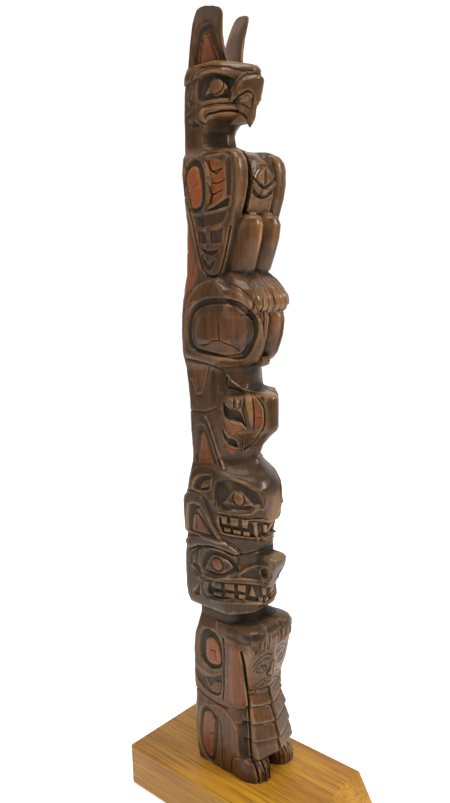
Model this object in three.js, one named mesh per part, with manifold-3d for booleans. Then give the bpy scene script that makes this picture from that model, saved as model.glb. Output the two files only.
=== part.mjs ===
// A carved totem pole on a wooden base.
// Millimetres, +Z up, front toward -Y. The origin is the middle of the base's underside.
import * as THREE from 'three';
import { mergeVertices } from 'three/addons/utils/BufferGeometryUtils.js';
import Module from 'manifold-3d';

// Driving sizes
const POLE_HEIGHT = 598;
const BASE_WIDTH = 99;
const BASE_LENGTH = 175;
const BASE_THICKNESS = 38;
const BASE_FRONT_RUN = 21;
const BASE_EDGE = 1.5;
const POLE_ASIDE = 6;
const POLE_FROM_BACK = 85;
const SEAT_GAP = 0.3;

// The pole's mesh
const COLUMNS = 184;
const ROWS = 330;
const POLE_TRIANGLES = 9000;
const FRONT_CROWDING = 0.275;

// The pole's form and carving are shares of its height, written in 598ths of it.
const HEIGHT_PARTS = 598;
const partSize = POLE_HEIGHT / HEIGHT_PARTS;

// Up to this height the pole is one turned-round log; the horns stand above it.
const CROWN = 563;

// Each drawing is laid over a flank and wraps round the front corner on a slant:
// how far it shifts forward, and up or down, for each part inward from the flank.
const FLANK = 30;
const WRAP_SHIFT = 0.9;
const LEVEL_HEIGHT = 425;
const LEVEL_REACH = 441;

const wasm = await Module();
wasm.setup();

// Sections. A station is [height, front, front corner, side, rear corner, back]:
// the distances from the axis of the flat cuts that shape the section there.
const CUT_ANGLES = [0, 42, 90, 138, 180].map(THREE.MathUtils.degToRad);

function between(height, stations, column) {
  let last = stations[0];
  for (const next of stations) {
    if (height <= next[0]) {
      const span = next[0] - last[0];
      const share = span > 0 ? (height - last[0]) / span : 0;
      return THREE.MathUtils.lerp(last[column], next[column], share);
    }
    last = next;
  }
  return last[column];
}

function covers(height, stations) {
  return height >= stations[0][0] && height <= stations[stations.length - 1][0];
}

// A hewn section: flat cuts meeting at slightly softened corners
function hewnReach(angle, height, stations, crispness) {
  if (!covers(height, stations)) return 0;
  let sum = 0;
  CUT_ANGLES.forEach((cut, index) => {
    const facing = Math.cos(angle - cut);
    if (facing > 0) sum += (facing / between(height, stations, index + 1)) ** crispness;
  });
  return sum ** (-1 / crispness);
}

// A round limb: stations are [height, aside, forward, half width, half depth]
function limbReach(angle, height, stations) {
  if (!covers(height, stations)) return 0;
  const [aside, forward, halfWidth, halfDepth] = [1, 2, 3, 4].map((k) => between(height, stations, k));
  const sine = Math.sin(angle);
  const cosine = Math.cos(angle);
  const a = (sine / halfWidth) ** 2 + (cosine / halfDepth) ** 2;
  const b = -2 * ((sine * aside) / halfWidth ** 2 + (cosine * forward) / halfDepth ** 2);
  const c = (aside / halfWidth) ** 2 + (forward / halfDepth) ** 2 - 1;
  const inner = b * b - 4 * a * c;
  return inner > 0 ? Math.max(0, (-b + Math.sqrt(inner)) / (2 * a)) : 0;
}

const SHIELD_ANGLE = 1.3;

// A shield bent along its middle: stations are [height, middle, edge aside, edge forward]
function shieldReach(angle, height, stations) {
  if (!covers(height, stations) || angle > SHIELD_ANGLE) return 0;
  const [middle, edgeAside, edgeForward] = [1, 2, 3].map((k) => between(height, stations, k));
  const slope = (middle - edgeForward) / edgeAside;
  const face = middle / (Math.cos(angle) + slope * Math.sin(angle));
  return Math.min(face, edgeAside / Math.max(Math.sin(angle), 1e-4));
}

function softMax(a, b, blend) {
  if (blend <= 0) return Math.max(a, b);
  const share = THREE.MathUtils.clamp(0.5 + (0.5 * (a - b)) / blend, 0, 1);
  return b * (1 - share) + a * share + blend * share * (1 - share);
}

// The log, from the feet up to the eagle's crown
const TRUNK = [
  [0, 26, 33, 28, 39.6, 28.6], [12, 27, 34, 28.6, 41.4, 30], [30, 27, 33, 28.8, 42, 30.4],
  [50, 25, 32, 28.4, 42, 30], [57, 24, 30, 27.2, 41.6, 29.6], [64, 25, 30, 27.8, 42, 29.8],
  [70, 25, 30.5, 28.8, 42.2, 30], [100, 26, 31, 28.6, 41.8, 29.6], [115, 26, 30, 27.4, 40.6, 28.6],
  [124, 23, 26, 25.6, 37.4, 26], [133, 20, 23, 23, 34, 24.8], [141.5, 20, 23.2, 22.6, 33.8, 24.8],
  [144, 26.5, 29.4, 29.6, 42.6, 30.5], [150, 30, 30, 31, 44.8, 32.4], [158, 31.5, 30, 31.6, 46, 33],
  [176, 32, 30, 31.6, 45.8, 33], [186, 29.5, 28.6, 31.6, 45.4, 32.4], [203, 28.4, 28.6, 30.6, 43, 30.6],
  [208, 30.6, 29, 30.5, 43.4, 31], [217.6, 34, 30.8, 30.5, 43.9, 31.4], [219.6, 37.4, 34.6, 30.5, 44, 31.6],
  [234, 38, 35.6, 30.5, 44.4, 31.4], [241, 37.8, 35.4, 30, 41.6, 29.4], [248, 37.2, 34.4, 29.4, 40, 28.4],
  [253, 32.4, 28.8, 28.4, 38.2, 27.8], [260, 25.4, 21.6, 26.5, 36.4, 27], [264, 23, 18.8, 25.5, 35.8, 26.8],
  [268, 23.4, 18.6, 25, 35.4, 26.8], [274, 25, 20.6, 25, 35.4, 26.8], [290, 25, 26.6, 26, 36.2, 26.8],
  [313, 24, 26.6, 26.5, 36, 26.8], [326, 21, 22, 26.8, 37, 27.2], [339, 21.4, 22, 27.6, 38.2, 28],
  [344, 22, 23.6, 29, 39.4, 28], [350, 26, 31, 30.5, 40.4, 28.2], [364, 31, 36.6, 31.2, 40.8, 28.4],
  [380, 33, 38.6, 31.2, 39.6, 28.2], [390, 31, 36.6, 31, 38.2, 27.8], [400, 26, 32.6, 30, 37, 27.4],
  [407, 22, 26, 28, 35.8, 27], [411, 19, 24, 26.6, 35, 26.4], [426, 18, 23, 25.6, 34.4, 26],
  [449, 22, 26, 25.6, 33, 25.6], [461, 26, 30, 26.6, 33.6, 25.4], [485, 28, 33, 27, 35.8, 25.4],
  [496, 26, 31, 26, 34.4, 25.4], [499.5, 12, 17, 22, 34, 25.4], [504, 4.6, 6.4, 18.6, 34.4, 28.4],
  [512, 4, 5.4, 17.8, 34.4, 28.6], [516, 6, 8.6, 18.6, 34.2, 28.2], [520, 16, 19, 20, 33.8, 27],
  [541, 20, 22, 20.5, 32.2, 25.6], [557, 20, 21, 18.6, 30.2, 24.4], [561, 12, 15, 17.5, 29, 23.8],
  [CROWN, 3, 5, 8, 20, 18],
];

// What stands forward of the log
const BEAK = [
  [513.5, 17.6, 13.4, 2.2, 20, 20], [517, 19.4, 15, 4, 20, 20], [524, 23.2, 19, 7, 20, 20],
  [532, 26.8, 22.6, 10.5, 20, 20], [540, 30.2, 25.2, 13, 20, 20], [546, 32.8, 26.4, 14, 20, 20],
  [548.5, 33.2, 26.2, 13.5, 20, 20], [550, 31.6, 25, 12, 20, 20],
];
const BROW = [
  [544, 30.4, 25.4, 21, 31.8, 25.6], [554, 30, 25, 20.8, 31, 25.2], [557, 27, 23, 19.8, 29.8, 24.2],
  [560, 16, 18, 18, 29, 23.6],
];
const BROW_FOOT = 545;
const BROW_ARCH = 8;
const WINGS = [
  [409, 8, 24, 26.4, 20, 20], [412, 13, 27.5, 27.5, 20, 20], [435, 21.7, 34.2, 27.6, 20, 20],
  [455, 28, 39.6, 27.6, 20, 20], [465, 31.5, 42, 28, 20, 20], [475, 34, 43.6, 28, 20, 20],
  [485, 34.2, 43.8, 28, 20, 20], [491, 33, 42.2, 27.6, 20, 20], [495.5, 30, 39, 27.2, 20, 20],
  [499, 24, 31, 25.5, 20, 20],
];
const TALONS = [
  [380, 34, 34, 24, 20, 20], [383, 39.4, 39, 26, 20, 20], [388, 42, 42.4, 27, 20, 20],
  [394, 41, 42, 27, 20, 20], [400, 37, 39.4, 26, 20, 20], [406, 31, 35, 24.5, 20, 20],
  [411, 25, 29, 22, 20, 20], [414, 20, 24, 20, 20, 20],
];
const KNOB = [
  [341, 30, 24, 5, 10, 10], [343, 35.4, 27.2, 4.5, 10, 10], [347, 36.2, 27.8, 4.5, 10, 10],
  [349, 33, 25.5, 4, 10, 10],
];
const PROW = [
  [270, 24, 18.6, 24, 20, 20], [279, 28, 21.6, 25, 20, 20], [286, 34, 26.8, 26, 20, 20],
  [292, 41, 32.2, 26.6, 20, 20], [295, 42.4, 33.2, 26.8, 20, 20], [312, 42.4, 33.4, 26.8, 20, 20],
  [317, 42, 33.2, 26.8, 20, 20], [319.8, 41, 32, 26.8, 20, 20], [321.4, 30, 25, 26.8, 20, 20],
  [322.6, 22, 22, 26.8, 20, 20], [334, 17, 18, 26.8, 20, 20],
];
const PAW_TOPS = [
  [119, 34, 40, 26, 20, 20], [122, 36.6, 43.6, 26.4, 20, 20], [127, 36.6, 43.8, 26, 20, 20],
  [131, 33.6, 41, 25, 20, 20], [133, 29, 36, 22, 20, 20],
];
const SNOUT = [
  [162, 32, 26, 8, 10, 10], [165, 35, 29.6, 9.2, 10, 10], [174, 38.6, 32.8, 9.8, 10, 10],
  [181, 42, 36, 10, 10, 10], [185, 44, 37.6, 10, 10, 10], [189, 44.6, 37.8, 9.6, 10, 10],
  [191.2, 42.5, 35.6, 8.6, 10, 10], [192.4, 32, 26, 7, 10, 10],
];
const THIGHS = [
  [409, 9, 14, 8, 11], [414, 9.6, 16, 10, 13], [424, 10, 18, 10.8, 14.8], [436, 10.4, 21, 11, 16],
  [446, 10.4, 22.6, 10.8, 16], [451, 10, 22.4, 9.6, 14.6], [455, 9, 21.4, 6, 11],
];
const LOBES = [
  [343, 8, 12, 7, 13], [346, 8, 14.6, 8, 16.4], [352, 8.5, 16.6, 9, 18.4], [364, 9, 19.4, 10.2, 19.8],
  [378, 9, 21, 10.5, 20.4], [384, 9, 20, 10, 20],
];
const FOREARMS = [
  [60, 17, 14, 8, 8], [63, 18.4, 14.6, 9.6, 9.4], [70, 19, 15, 10.2, 10], [100, 19, 16, 10.2, 10.4],
  [114, 18.6, 18.4, 10.4, 11.6], [122, 17, 20.6, 10, 12], [126, 16, 21, 8, 10],
];
const PAWS = [
  [114, 14, 22, 9, 16], [118, 15, 24, 11, 17.4], [126, 15.4, 25, 11.6, 17],
  [131, 15, 25, 11, 15.6], [133.6, 15, 24.6, 7, 11.6],
];
const CALVES = [
  [0, 17, 3, 11.6, 15], [20, 17.4, 3, 11.6, 15.5], [45, 17.6, 2, 11.4, 15.6], [54, 17, 1, 10.4, 14],
  [58, 16, 0, 8, 11],
];
const FEET = [
  [0, 15.4, 20, 13.4, 19.6], [4, 15.4, 20, 13.6, 20], [10, 15.2, 19.4, 13, 19.4], [16, 15, 18, 12, 17],
  [21, 15, 15.5, 9, 11.5],
];
const COPPER = [
  [20, 39.5, 22.5, 34], [21.5, 40.6, 23.4, 34.6], [30, 39.4, 23, 33.8], [60, 32.6, 20.6, 27.6],
  [74, 30.2, 18, 25.6], [82, 32, 21, 27], [92, 33.8, 24.4, 29], [110, 36.4, 26.6, 31.6],
  [121, 38, 27.2, 33.2], [123, 37, 26.6, 32.4],
];

const TRUNK_CRISPNESS = 24;
const FORM_CRISPNESS = 40;
const HEWN_FORMS = [[BEAK, 1.2], [BROW, 0], [WINGS, 0], [TALONS, 0.8], [PROW, 0.5], [SNOUT, 1.2], [KNOB, 0],
  [PAW_TOPS, 0.6]];
const ROUND_FORMS = [[THIGHS, 0.6], [LOBES, 0.6], [FOREARMS, 0.8], [PAWS, 0.8], [FEET, 0.6],
  [CALVES, 0.6]];

function poleReach(angle, height) {
  let reach = hewnReach(angle, height, TRUNK, TRUNK_CRISPNESS);
  for (const [stations, blend] of HEWN_FORMS) {
    if (stations === BROW && height < BROW_FOOT + BROW_ARCH * Math.sin(angle) ** 2) continue;
    reach = softMax(reach, hewnReach(angle, height, stations, FORM_CRISPNESS), blend);
  }
  for (const [stations, blend] of ROUND_FORMS) {
    reach = softMax(reach, limbReach(angle, height, stations), blend);
  }
  return Math.max(reach, shieldReach(angle, height, COPPER));
}

// Carving. A patch raises or lowers the inside of an outline, with a sloped edge;
// a groove is a V cut along a line. Places are [along, up] on a drawing.
function rounded(points, closed) {
  const route = new THREE.CatmullRomCurve3(
    points.map(([along, up]) => new THREE.Vector3(along, up, 0)), closed, 'catmullrom', 0.5);
  return route.getPoints(points.length * 4).map((p) => [p.x, p.y]);
}

function patch(outline, height, edge, { straight = false, drawing = 'flank' } = {}) {
  const points = straight ? outline : rounded(outline, true);
  return { points, height, edge, drawing, closed: true };
}

function groove(line, width, depth, { drawing = 'flank' } = {}) {
  return { points: rounded(line, false), height: -depth, edge: width / 2, drawing, closed: false };
}

function oval(along, up, width, tall, turn = 0) {
  const shape = new THREE.EllipseCurve(along, up, width / 2, tall / 2, 0, 2 * Math.PI, false,
    THREE.MathUtils.degToRad(turn));
  return shape.getPoints(14).slice(0, -1).map((p) => [p.x, p.y]);
}

// A carved eye: a hollow, an almond lid standing in it and a round ball on the lid
function eye(socket, lid, ball, depth) {
  return [
    patch(socket, -depth, 3.2),
    patch(lid, depth * 0.72, 1.8),
    patch(ball, 1.4, 1.6, { straight: true }),
  ];
}

// Teeth between two ends, standing in a mouth that climbs toward the front
function toothRow(ends, bottom, top, climb) {
  return ends.map(([from, to]) => patch([
    [from, top + climb * from], [to, top + climb * to], [to, bottom + climb * to],
    [from, bottom + climb * from],
  ], 2.5, 1.2, { straight: true }));
}

const eagleHead = [
  ...eye(
    [[-4, 545], [-1, 549.5], [6, 551.6], [28, 548.4], [40, 544.6], [48, 542.8], [36, 538], [26, 530.8],
      [2, 530.6], [-4, 537]],
    [[0, 536], [10, 545.6], [16, 548], [21.5, 545.4], [28.5, 537.4], [16, 534]],
    oval(16, 541, 12.4, 10.6), 3.2),
  groove([[-12, 547], [0, 553.4], [10, 554.4], [30, 550.6], [49, 545]], 2.4, 1.7),
  groove([[6, 522], [12, 523.6], [25, 522.4], [38, 521], [46, 513]], 3, 2.6),
  groove([[-2, 526.6], [12, 529], [40, 526.2], [50, 519]], 2, 1.3),
  groove([[31, 527.4], [36, 530.8], [47.5, 532.4], [51, 528.6]], 2.6, 2.2),
  patch([[-13.5, 521], [-5.5, 529], [-4, 517.6]], -1.7, 1.2, { straight: true }),
];

const wings = [
  groove([[33, 465], [24, 435], [15, 412.5], [8, 409.6], [2, 411.5], [-5.5, 425], [-12.5, 453],
    [-17.6, 468]],
    2.4, 2),
  patch([[-18, 485], [-8, 494.6], [1.5, 487.5], [3.4, 466], [-7, 456], [-15, 461]], -2.3, 1.2),
  patch([[-17, 481], [-8, 489.6], [-1.4, 479], [-3, 461.6], [-12, 460]], 1.5, 1),
  patch([[1, 494.6], [6, 498.2], [24, 498.4], [29.6, 494.6], [22, 495.4]], -1.6, 0.9, { straight: true }),
  patch([[3.4, 492.6], [12, 492.2], [22.8, 487], [22.8, 470], [19, 464.6], [3.4, 459], [9, 470], [9, 479]],
    -1.6, 1, { straight: true }),
  patch([[24.2, 489.6], [27, 492.6], [29.4, 489], [28, 466.6], [24.2, 465.4]], -1.1, 0.9,
    { straight: true }),
  patch([[4.4, 457.8], [26.4, 466], [25.6, 458.8], [4.4, 456.4]], -2, 0.9, { straight: true }),
  patch([[-11.5, 454.6], [25, 457.6], [19.8, 447.6], [-8.6, 446.4]], -1.6, 1.6, { straight: true }),
  patch([[-7.8, 443.8], [4.2, 443.2], [4.2, 433], [-5.4, 433.4]], -1.6, 1.2, { straight: true }),
  patch([[6.4, 443.4], [20.4, 446], [18.4, 433.4], [6.4, 432.8]], -1.6, 1.2, { straight: true }),
  patch([[-5.8, 431.4], [8, 428.8], [15.6, 430.2], [8, 424.4]], -2, 1.2),
  patch([[-4.6, 426], [4.4, 419], [12.6, 423.4], [5, 413.2]], -1.8, 1.2, { straight: true }),
];

// The chest between the wings: three layers of feathers, each a row that ends in a point
const CHEST_GAP = 15.4;
const feather = (foot, tall) => patch(
  [[0, foot], [12.6, foot + 5.2], [12.6, foot + tall], [0, foot + tall - 3]], 2.2, 3,
  { straight: true, drawing: 'front' });
const chest = [
  groove([[CHEST_GAP, 454], [CHEST_GAP, 470], [CHEST_GAP, 498]], 5, 7, { drawing: 'front' }),
  feather(463, 8), feather(472, 9), feather(482, 11),
  patch([[-1, 489], [12.6, 486], [12.6, 500], [-1, 500]], -6, 9, { straight: true, drawing: 'front' }),
];

const TOE_LINES = [[2.6, 0], [5.2, 6.6], [9, 13.6], [13, 20.2]];
const talons = [
  ...TOE_LINES.map(([ankle, tip]) => groove(
    [[ankle, 411], [(ankle + tip) / 2 + 0.8, 402], [tip, 386], [tip, 380]], 2.9, 3.3,
    { drawing: 'front' })),
  groove([[0, 383], [0, 364], [0, 346]], 2.6, 2.4, { drawing: 'front' }),
  groove([[12.5, 384], [13.4, 372], [10.5, 352]], 2, 1.4, { drawing: 'front' }),
];

const haunch = [
  patch([[-24, 352], [-20.5, 386], [-6, 404.4], [6, 408], [24, 402.6], [42, 394], [57, 375], [52, 353],
    [30, 343.6], [0, 344.4]], 1.3, 2.2),
  patch([[-18.4, 374], [-10, 389.6], [10, 395], [36, 390.4], [52.4, 380.6], [52.8, 365], [41, 351],
    [10, 350.4], [-16, 356]], -2.9, 1.3),
  patch([[-14.6, 370], [-5, 386], [15, 390.2], [40, 384], [49.6, 370], [40, 353.4], [10, 353.4],
    [-13.4, 358]], 3.1, 6.5),
];

const tail = [
  patch([[-19, 343.6], [0, 342.4], [-5.4, 327.6], [-11.4, 323.8], [-17, 334]], -1.1, 1, { straight: true }),
  patch([[17, 330.5], [35, 325.5], [34, 311], [26.4, 312], [19.2, 320]], -1.7, 1.4),
  patch([[16.4, 316.6], [25, 307.6], [35.6, 305.4], [27, 302.6], [16.6, 308.6]], -1.9, 1.2),
  patch([[37.6, 320], [40.4, 325.6], [45.6, 311], [43.4, 302], [37.4, 312]], -1.6, 1.3),
  groove([[46, 328], [54.6, 314], [55.6, 304], [50, 288]], 2.6, 1.9),
  groove([[14.4, 297.4], [18, 291.6], [33, 285]], 2.8, 1.9),
  groove([[13.4, 283], [17, 276], [32, 268.6]], 2.6, 1.8),
  groove([[-6.6, 303], [1.6, 287], [10, 266]], 2.6, 1.7),
  patch([[-15, 295], [-5, 295.4], [7, 266], [-18, 264]], -1.5, 1.1, { straight: true }),
  patch([[-10.8, 289], [-5, 289], [3.6, 266], [-15.8, 264]], 1, 1.2, { straight: true }),
];

const upperHead = [
  patch([[-22, 256.6], [-6, 265.6], [12, 262.4], [35, 259.6], [54, 255], [56, 238], [42, 235], [8, 228],
    [-8, 238], [-26, 241]], 0.9, 1.6, { straight: true }),
  patch([[-19, 243], [-12, 254.6], [1.4, 257], [-1.4, 245.6], [-12, 242.4]], -2.3, 1.2),
  ...eye(
    [[2, 245], [10, 257.2], [20, 258.2], [35, 256.4], [52.6, 248], [40, 234.6], [20, 230.8], [5, 232.6]],
    [[9.6, 235.8], [20, 247], [28, 249.8], [35, 247.4], [45.6, 240.4], [28, 236.4]],
    oval(28, 243.2, 12.4, 10.8), 2.8),
  patch([[7, 226], [48, 230], [70, 232], [70, 221], [40, 214.4], [10, 211.8]], -2.9, 1, { straight: true }),
  ...toothRow([[8, 16.2], [17.8, 28], [29.8, 38.4], [53.6, 59]], 218.4, 226.4, 0.05),
  ...toothRow([[11, 19], [20.6, 30], [31.6, 40]], 212.4, 216.4, 0.06),
  patch([[42, 228.6], [47.6, 229.6], [48.8, 216], [45, 213.4]], 2.8, 1.3, { straight: true }),
];

const bearHead = [
  patch([[-33, 205], [-29.8, 236], [-25.6, 240.4], [-9.6, 239.4], [1, 221], [16, 203.4]], 1.7, 1.5,
    { straight: true }),
  patch([[-25.6, 206], [-23.6, 229.6], [-11.6, 230.4], [5.6, 206.4]], -2.3, 1.2, { straight: true }),
  patch([[-22.2, 206.6], [-18.4, 222.6], [-15, 222.6], [0, 207]], 1.6, 1, { straight: true }),
  patch([[-32.6, 197], [-16, 204.6], [5, 206], [28.6, 199.4], [10, 198.2], [-15, 196],
    [-26, 190.6]], 1.4, 1.3,
    { straight: true }),
  groove([[-25.4, 178], [-23.6, 187], [-13, 195]], 2.6, 2),
  patch([[-25, 179], [-15, 177.4], [-18, 168]], -1.5, 1.2, { straight: true }),
  ...eye(
    [[-14.6, 180], [-7, 194.6], [4, 196.6], [16, 195], [27.6, 183.6], [12, 174.4], [-8, 173.8]],
    [[-11.6, 176.4], [-3, 191.4], [4, 192.4], [12, 191], [21.6, 186.4], [8, 176.4]],
    oval(3, 184, 12.6, 11.4), 2.7),
  groove([[28.6, 199], [45, 205], [60, 210.4]], 2.6, 1.5),
  patch([[25, 181], [40, 189.4], [50, 187], [38, 180]], -1.5, 1.6),
  patch(oval(54.6, 189.4, 9.4, 8.8), -4.5, 2.2, { straight: true }),
  patch([[-8.6, 161], [2, 169.4], [38, 176.6], [70, 181], [70, 170], [36, 162], [-5, 155.6]], -3, 1.1),
  ...toothRow([[-5, 7.8], [9.4, 21.8], [23.6, 34.2], [50.6, 57]], 163.4, 170, 0.165),
  ...toothRow([[-3, 7.4], [9.6, 20.8], [24.6, 33.4]], 156.6, 161, 0.165),
  patch([[35.6, 166], [40.4, 178], [45.8, 167]], 3, 1.4, { straight: true }),
];

const bearBody = [
  patch([[-20.6, 106], [-13.6, 124.4], [0, 123.4], [6, 106], [0, 92.4], [-15.4, 93]], -2.4, 1.1),
  patch([[-14.6, 106], [-8, 118.4], [3, 110.6], [3, 96.6], [-10, 94.4]], 1.6, 1.4),
  patch([[-25.6, 85], [-5, 83.6], [4.6, 88.6], [4.6, 76], [-8, 66.6], [-22.6, 73]], -2, 1.1),
  groove([[-27, 66.6], [-12, 61.8], [10, 60.6]], 2.4, 1.4),
  groove([[26.6, 116], [31.6, 90], [34, 60], [35.4, 27]], 3.4, 3.4),
  patch([[-24.6, 22], [-20.4, 48], [-8, 52.4], [-0.6, 43], [-8, 3], [-14, 3]], -2.1, 1.1),
  patch([[-20.6, 20], [-15.4, 48.6], [-4.6, 43.4], [-11, 8]], 1.1, 1.2),
  patch([[12, 54.6], [23, 54], [34, 60], [34, 24], [20, 24], [18.6, 40]], -2.6, 3, { straight: true }),
];

const COPPER_BANDS = [62, 47.5, 33];
const copperShield = [
  groove([[0, 74], [0, 47], [0, 20]], 3, 2.6, { drawing: 'front' }),
  ...COPPER_BANDS.map((up) => groove([[1, up - 1.4], [11, up], [24, up + 3.6]], 2, 1.3,
    { drawing: 'front' })),
  groove([[0, 74], [10, 75.4], [21, 79]], 2, 1.3, { drawing: 'front' }),
  patch(oval(12.6, 96, 10.4, 6.6, 14), -0.9, 0.9, { straight: true, drawing: 'front' }),
  patch([[-1, 101], [2.6, 100], [6, 89.6], [-1, 87]], 1, 1, { straight: true, drawing: 'front' }),
];

const TOE_GAPS = [7.6, 12.8, 18, 23.2];
const bearFeet = [
  ...TOE_GAPS.map((across) => groove([[across - 0.6, 19], [across, 10], [across, 0]], 2.6, 3.2,
    { drawing: 'front' })),
  groove([[0, 24], [0, 12], [0, 0]], 6, 6, { drawing: 'front' }),
];

const CARVING = [...eagleHead, ...wings, ...chest, ...talons, ...haunch, ...tail, ...upperHead,
  ...bearHead, ...bearBody, ...copperShield, ...bearFeet];

function distanceTo(points, closed, along, up) {
  let nearest = Infinity;
  const count = closed ? points.length : points.length - 1;
  for (let i = 0; i < count; i += 1) {
    const [fromAlong, fromUp] = points[i];
    const [toAlong, toUp] = points[(i + 1) % points.length];
    const stepAlong = toAlong - fromAlong;
    const stepUp = toUp - fromUp;
    const length = stepAlong ** 2 + stepUp ** 2 || 1e-9;
    const share = THREE.MathUtils.clamp(
      ((along - fromAlong) * stepAlong + (up - fromUp) * stepUp) / length, 0, 1);
    const offAlong = along - fromAlong - share * stepAlong;
    const offUp = up - fromUp - share * stepUp;
    nearest = Math.min(nearest, offAlong ** 2 + offUp ** 2);
  }
  return Math.sqrt(nearest);
}

function isInside(points, along, up) {
  let inside = false;
  points.forEach(([fromAlong, fromUp], index) => {
    const [toAlong, toUp] = points[(index + 1) % points.length];
    if ((fromUp > up) === (toUp > up)) return;
    const crossing = ((toAlong - fromAlong) * (up - fromUp)) / (toUp - fromUp) + fromAlong;
    if (along < crossing) inside = !inside;
  });
  return inside;
}

function reachOfFeature(feature) {
  const alongs = feature.points.map((p) => p[0]);
  const ups = feature.points.map((p) => p[1]);
  const margin = feature.closed ? 0 : feature.edge;
  return {
    ...feature,
    left: Math.min(...alongs) - margin,
    right: Math.max(...alongs) + margin,
    low: Math.min(...ups) - margin,
    high: Math.max(...ups) + margin,
  };
}

const features = CARVING.map(reachOfFeature);

function carvedBy(feature, along, up) {
  if (along < feature.left || along > feature.right || up < feature.low || up > feature.high) return 0;
  if (!feature.closed) {
    const nearness = 1 - distanceTo(feature.points, false, along, up) / feature.edge;
    return feature.height * Math.max(0, nearness);
  }
  if (!isInside(feature.points, along, up)) return 0;
  const depth = distanceTo(feature.points, true, along, up);
  return feature.height * THREE.MathUtils.smoothstep(depth, 0, feature.edge);
}

const BACK_FACE = 15;
const FRONT_START = 8;

function carvedReach(angle, height) {
  const reach = poleReach(angle, height);
  const aside = reach * Math.sin(angle);
  const forward = reach * Math.cos(angle);
  const inward = FLANK - aside;
  const places = {
    flank: [forward + WRAP_SHIFT * inward, height + ((LEVEL_HEIGHT - height) / LEVEL_REACH) * inward],
    front: [aside, height],
  };
  const shown = { flank: forward >= 0 || aside > BACK_FACE, front: forward > FRONT_START };
  let change = 0;
  for (const feature of features) {
    if (shown[feature.drawing]) change += carvedBy(feature, ...places[feature.drawing]);
  }
  return Math.max(1, reach + change);
}

// Meshes and solids
function weld(geometry) {
  const bare = geometry.clone();
  bare.deleteAttribute('normal');
  bare.deleteAttribute('uv');
  const merged = mergeVertices(bare.index ? bare.toNonIndexed() : bare, 1e-4);
  const corners = [...merged.index.array];
  const kept = [];
  for (let i = 0; i < corners.length; i += 3) {
    const [a, b, c] = corners.slice(i, i + 3);
    if (a !== b && b !== c && c !== a) kept.push(a, b, c);
  }
  merged.setIndex(kept);
  return merged;
}

function toSolid(geometry) {
  const welded = weld(geometry);
  const mesh = new wasm.Mesh({
    numProp: 3,
    vertProperties: new Float32Array(welded.attributes.position.array),
    triVerts: new Uint32Array(welded.index.array),
  });
  mesh.merge();
  return new wasm.Manifold(mesh);
}

function toGeometry(solid) {
  const { vertProperties, triVerts, numProp } = solid.getMesh();
  const positions = new Float32Array((vertProperties.length / numProp) * 3);
  for (let i = 0; i < positions.length / 3; i += 1) {
    for (let k = 0; k < 3; k += 1) positions[3 * i + k] = vertProperties[numProp * i + k];
  }
  const geometry = new THREE.BufferGeometry();
  geometry.setAttribute('position', new THREE.BufferAttribute(positions, 3));
  geometry.setIndex([...triVerts]);
  return geometry;
}

// Thins a closed mesh: the edge whose loss bends the surface least goes first.
// Each corner carries the sum of its planes as the ten numbers of a quadric.
function addPlane(quadrics, vertex, [x, y, z, w], weight) {
  const terms = [x * x, x * y, x * z, x * w, y * y, y * z, y * w, z * z, z * w, w * w];
  terms.forEach((term, k) => { quadrics[10 * vertex + k] += term * weight; });
}

function quadricError(q, x, y, z) {
  return q[0] * x * x + 2 * q[1] * x * y + 2 * q[2] * x * z + 2 * q[3] * x + q[4] * y * y
    + 2 * q[5] * y * z + 2 * q[6] * y + q[7] * z * z + 2 * q[8] * z + q[9];
}

class EdgeHeap {
  constructor() { this.items = []; }

  push(item) {
    const { items } = this;
    let at = items.length;
    items.push(item);
    while (at > 0) {
      const parent = (at - 1) >> 1;
      if (items[parent].cost <= items[at].cost) break;
      [items[parent], items[at]] = [items[at], items[parent]];
      at = parent;
    }
  }

  pop() {
    const { items } = this;
    const top = items[0];
    const last = items.pop();
    if (items.length === 0) return top;
    items[0] = last;
    let at = 0;
    for (;;) {
      const left = 2 * at + 1;
      let least = at;
      if (left < items.length && items[left].cost < items[least].cost) least = left;
      if (left + 1 < items.length && items[left + 1].cost < items[least].cost) least = left + 1;
      if (least === at) return top;
      [items[least], items[at]] = [items[at], items[least]];
      at = least;
    }
  }
}

const LEAST_SOLVABLE = 1e-3;
const FARTHEST_MOVE = 1.5;
const SHORT_EDGES_FIRST = 1e-5;
const LEAST_FACE = 1e-3;
const LARGEST_TURN = 0.25;

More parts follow.
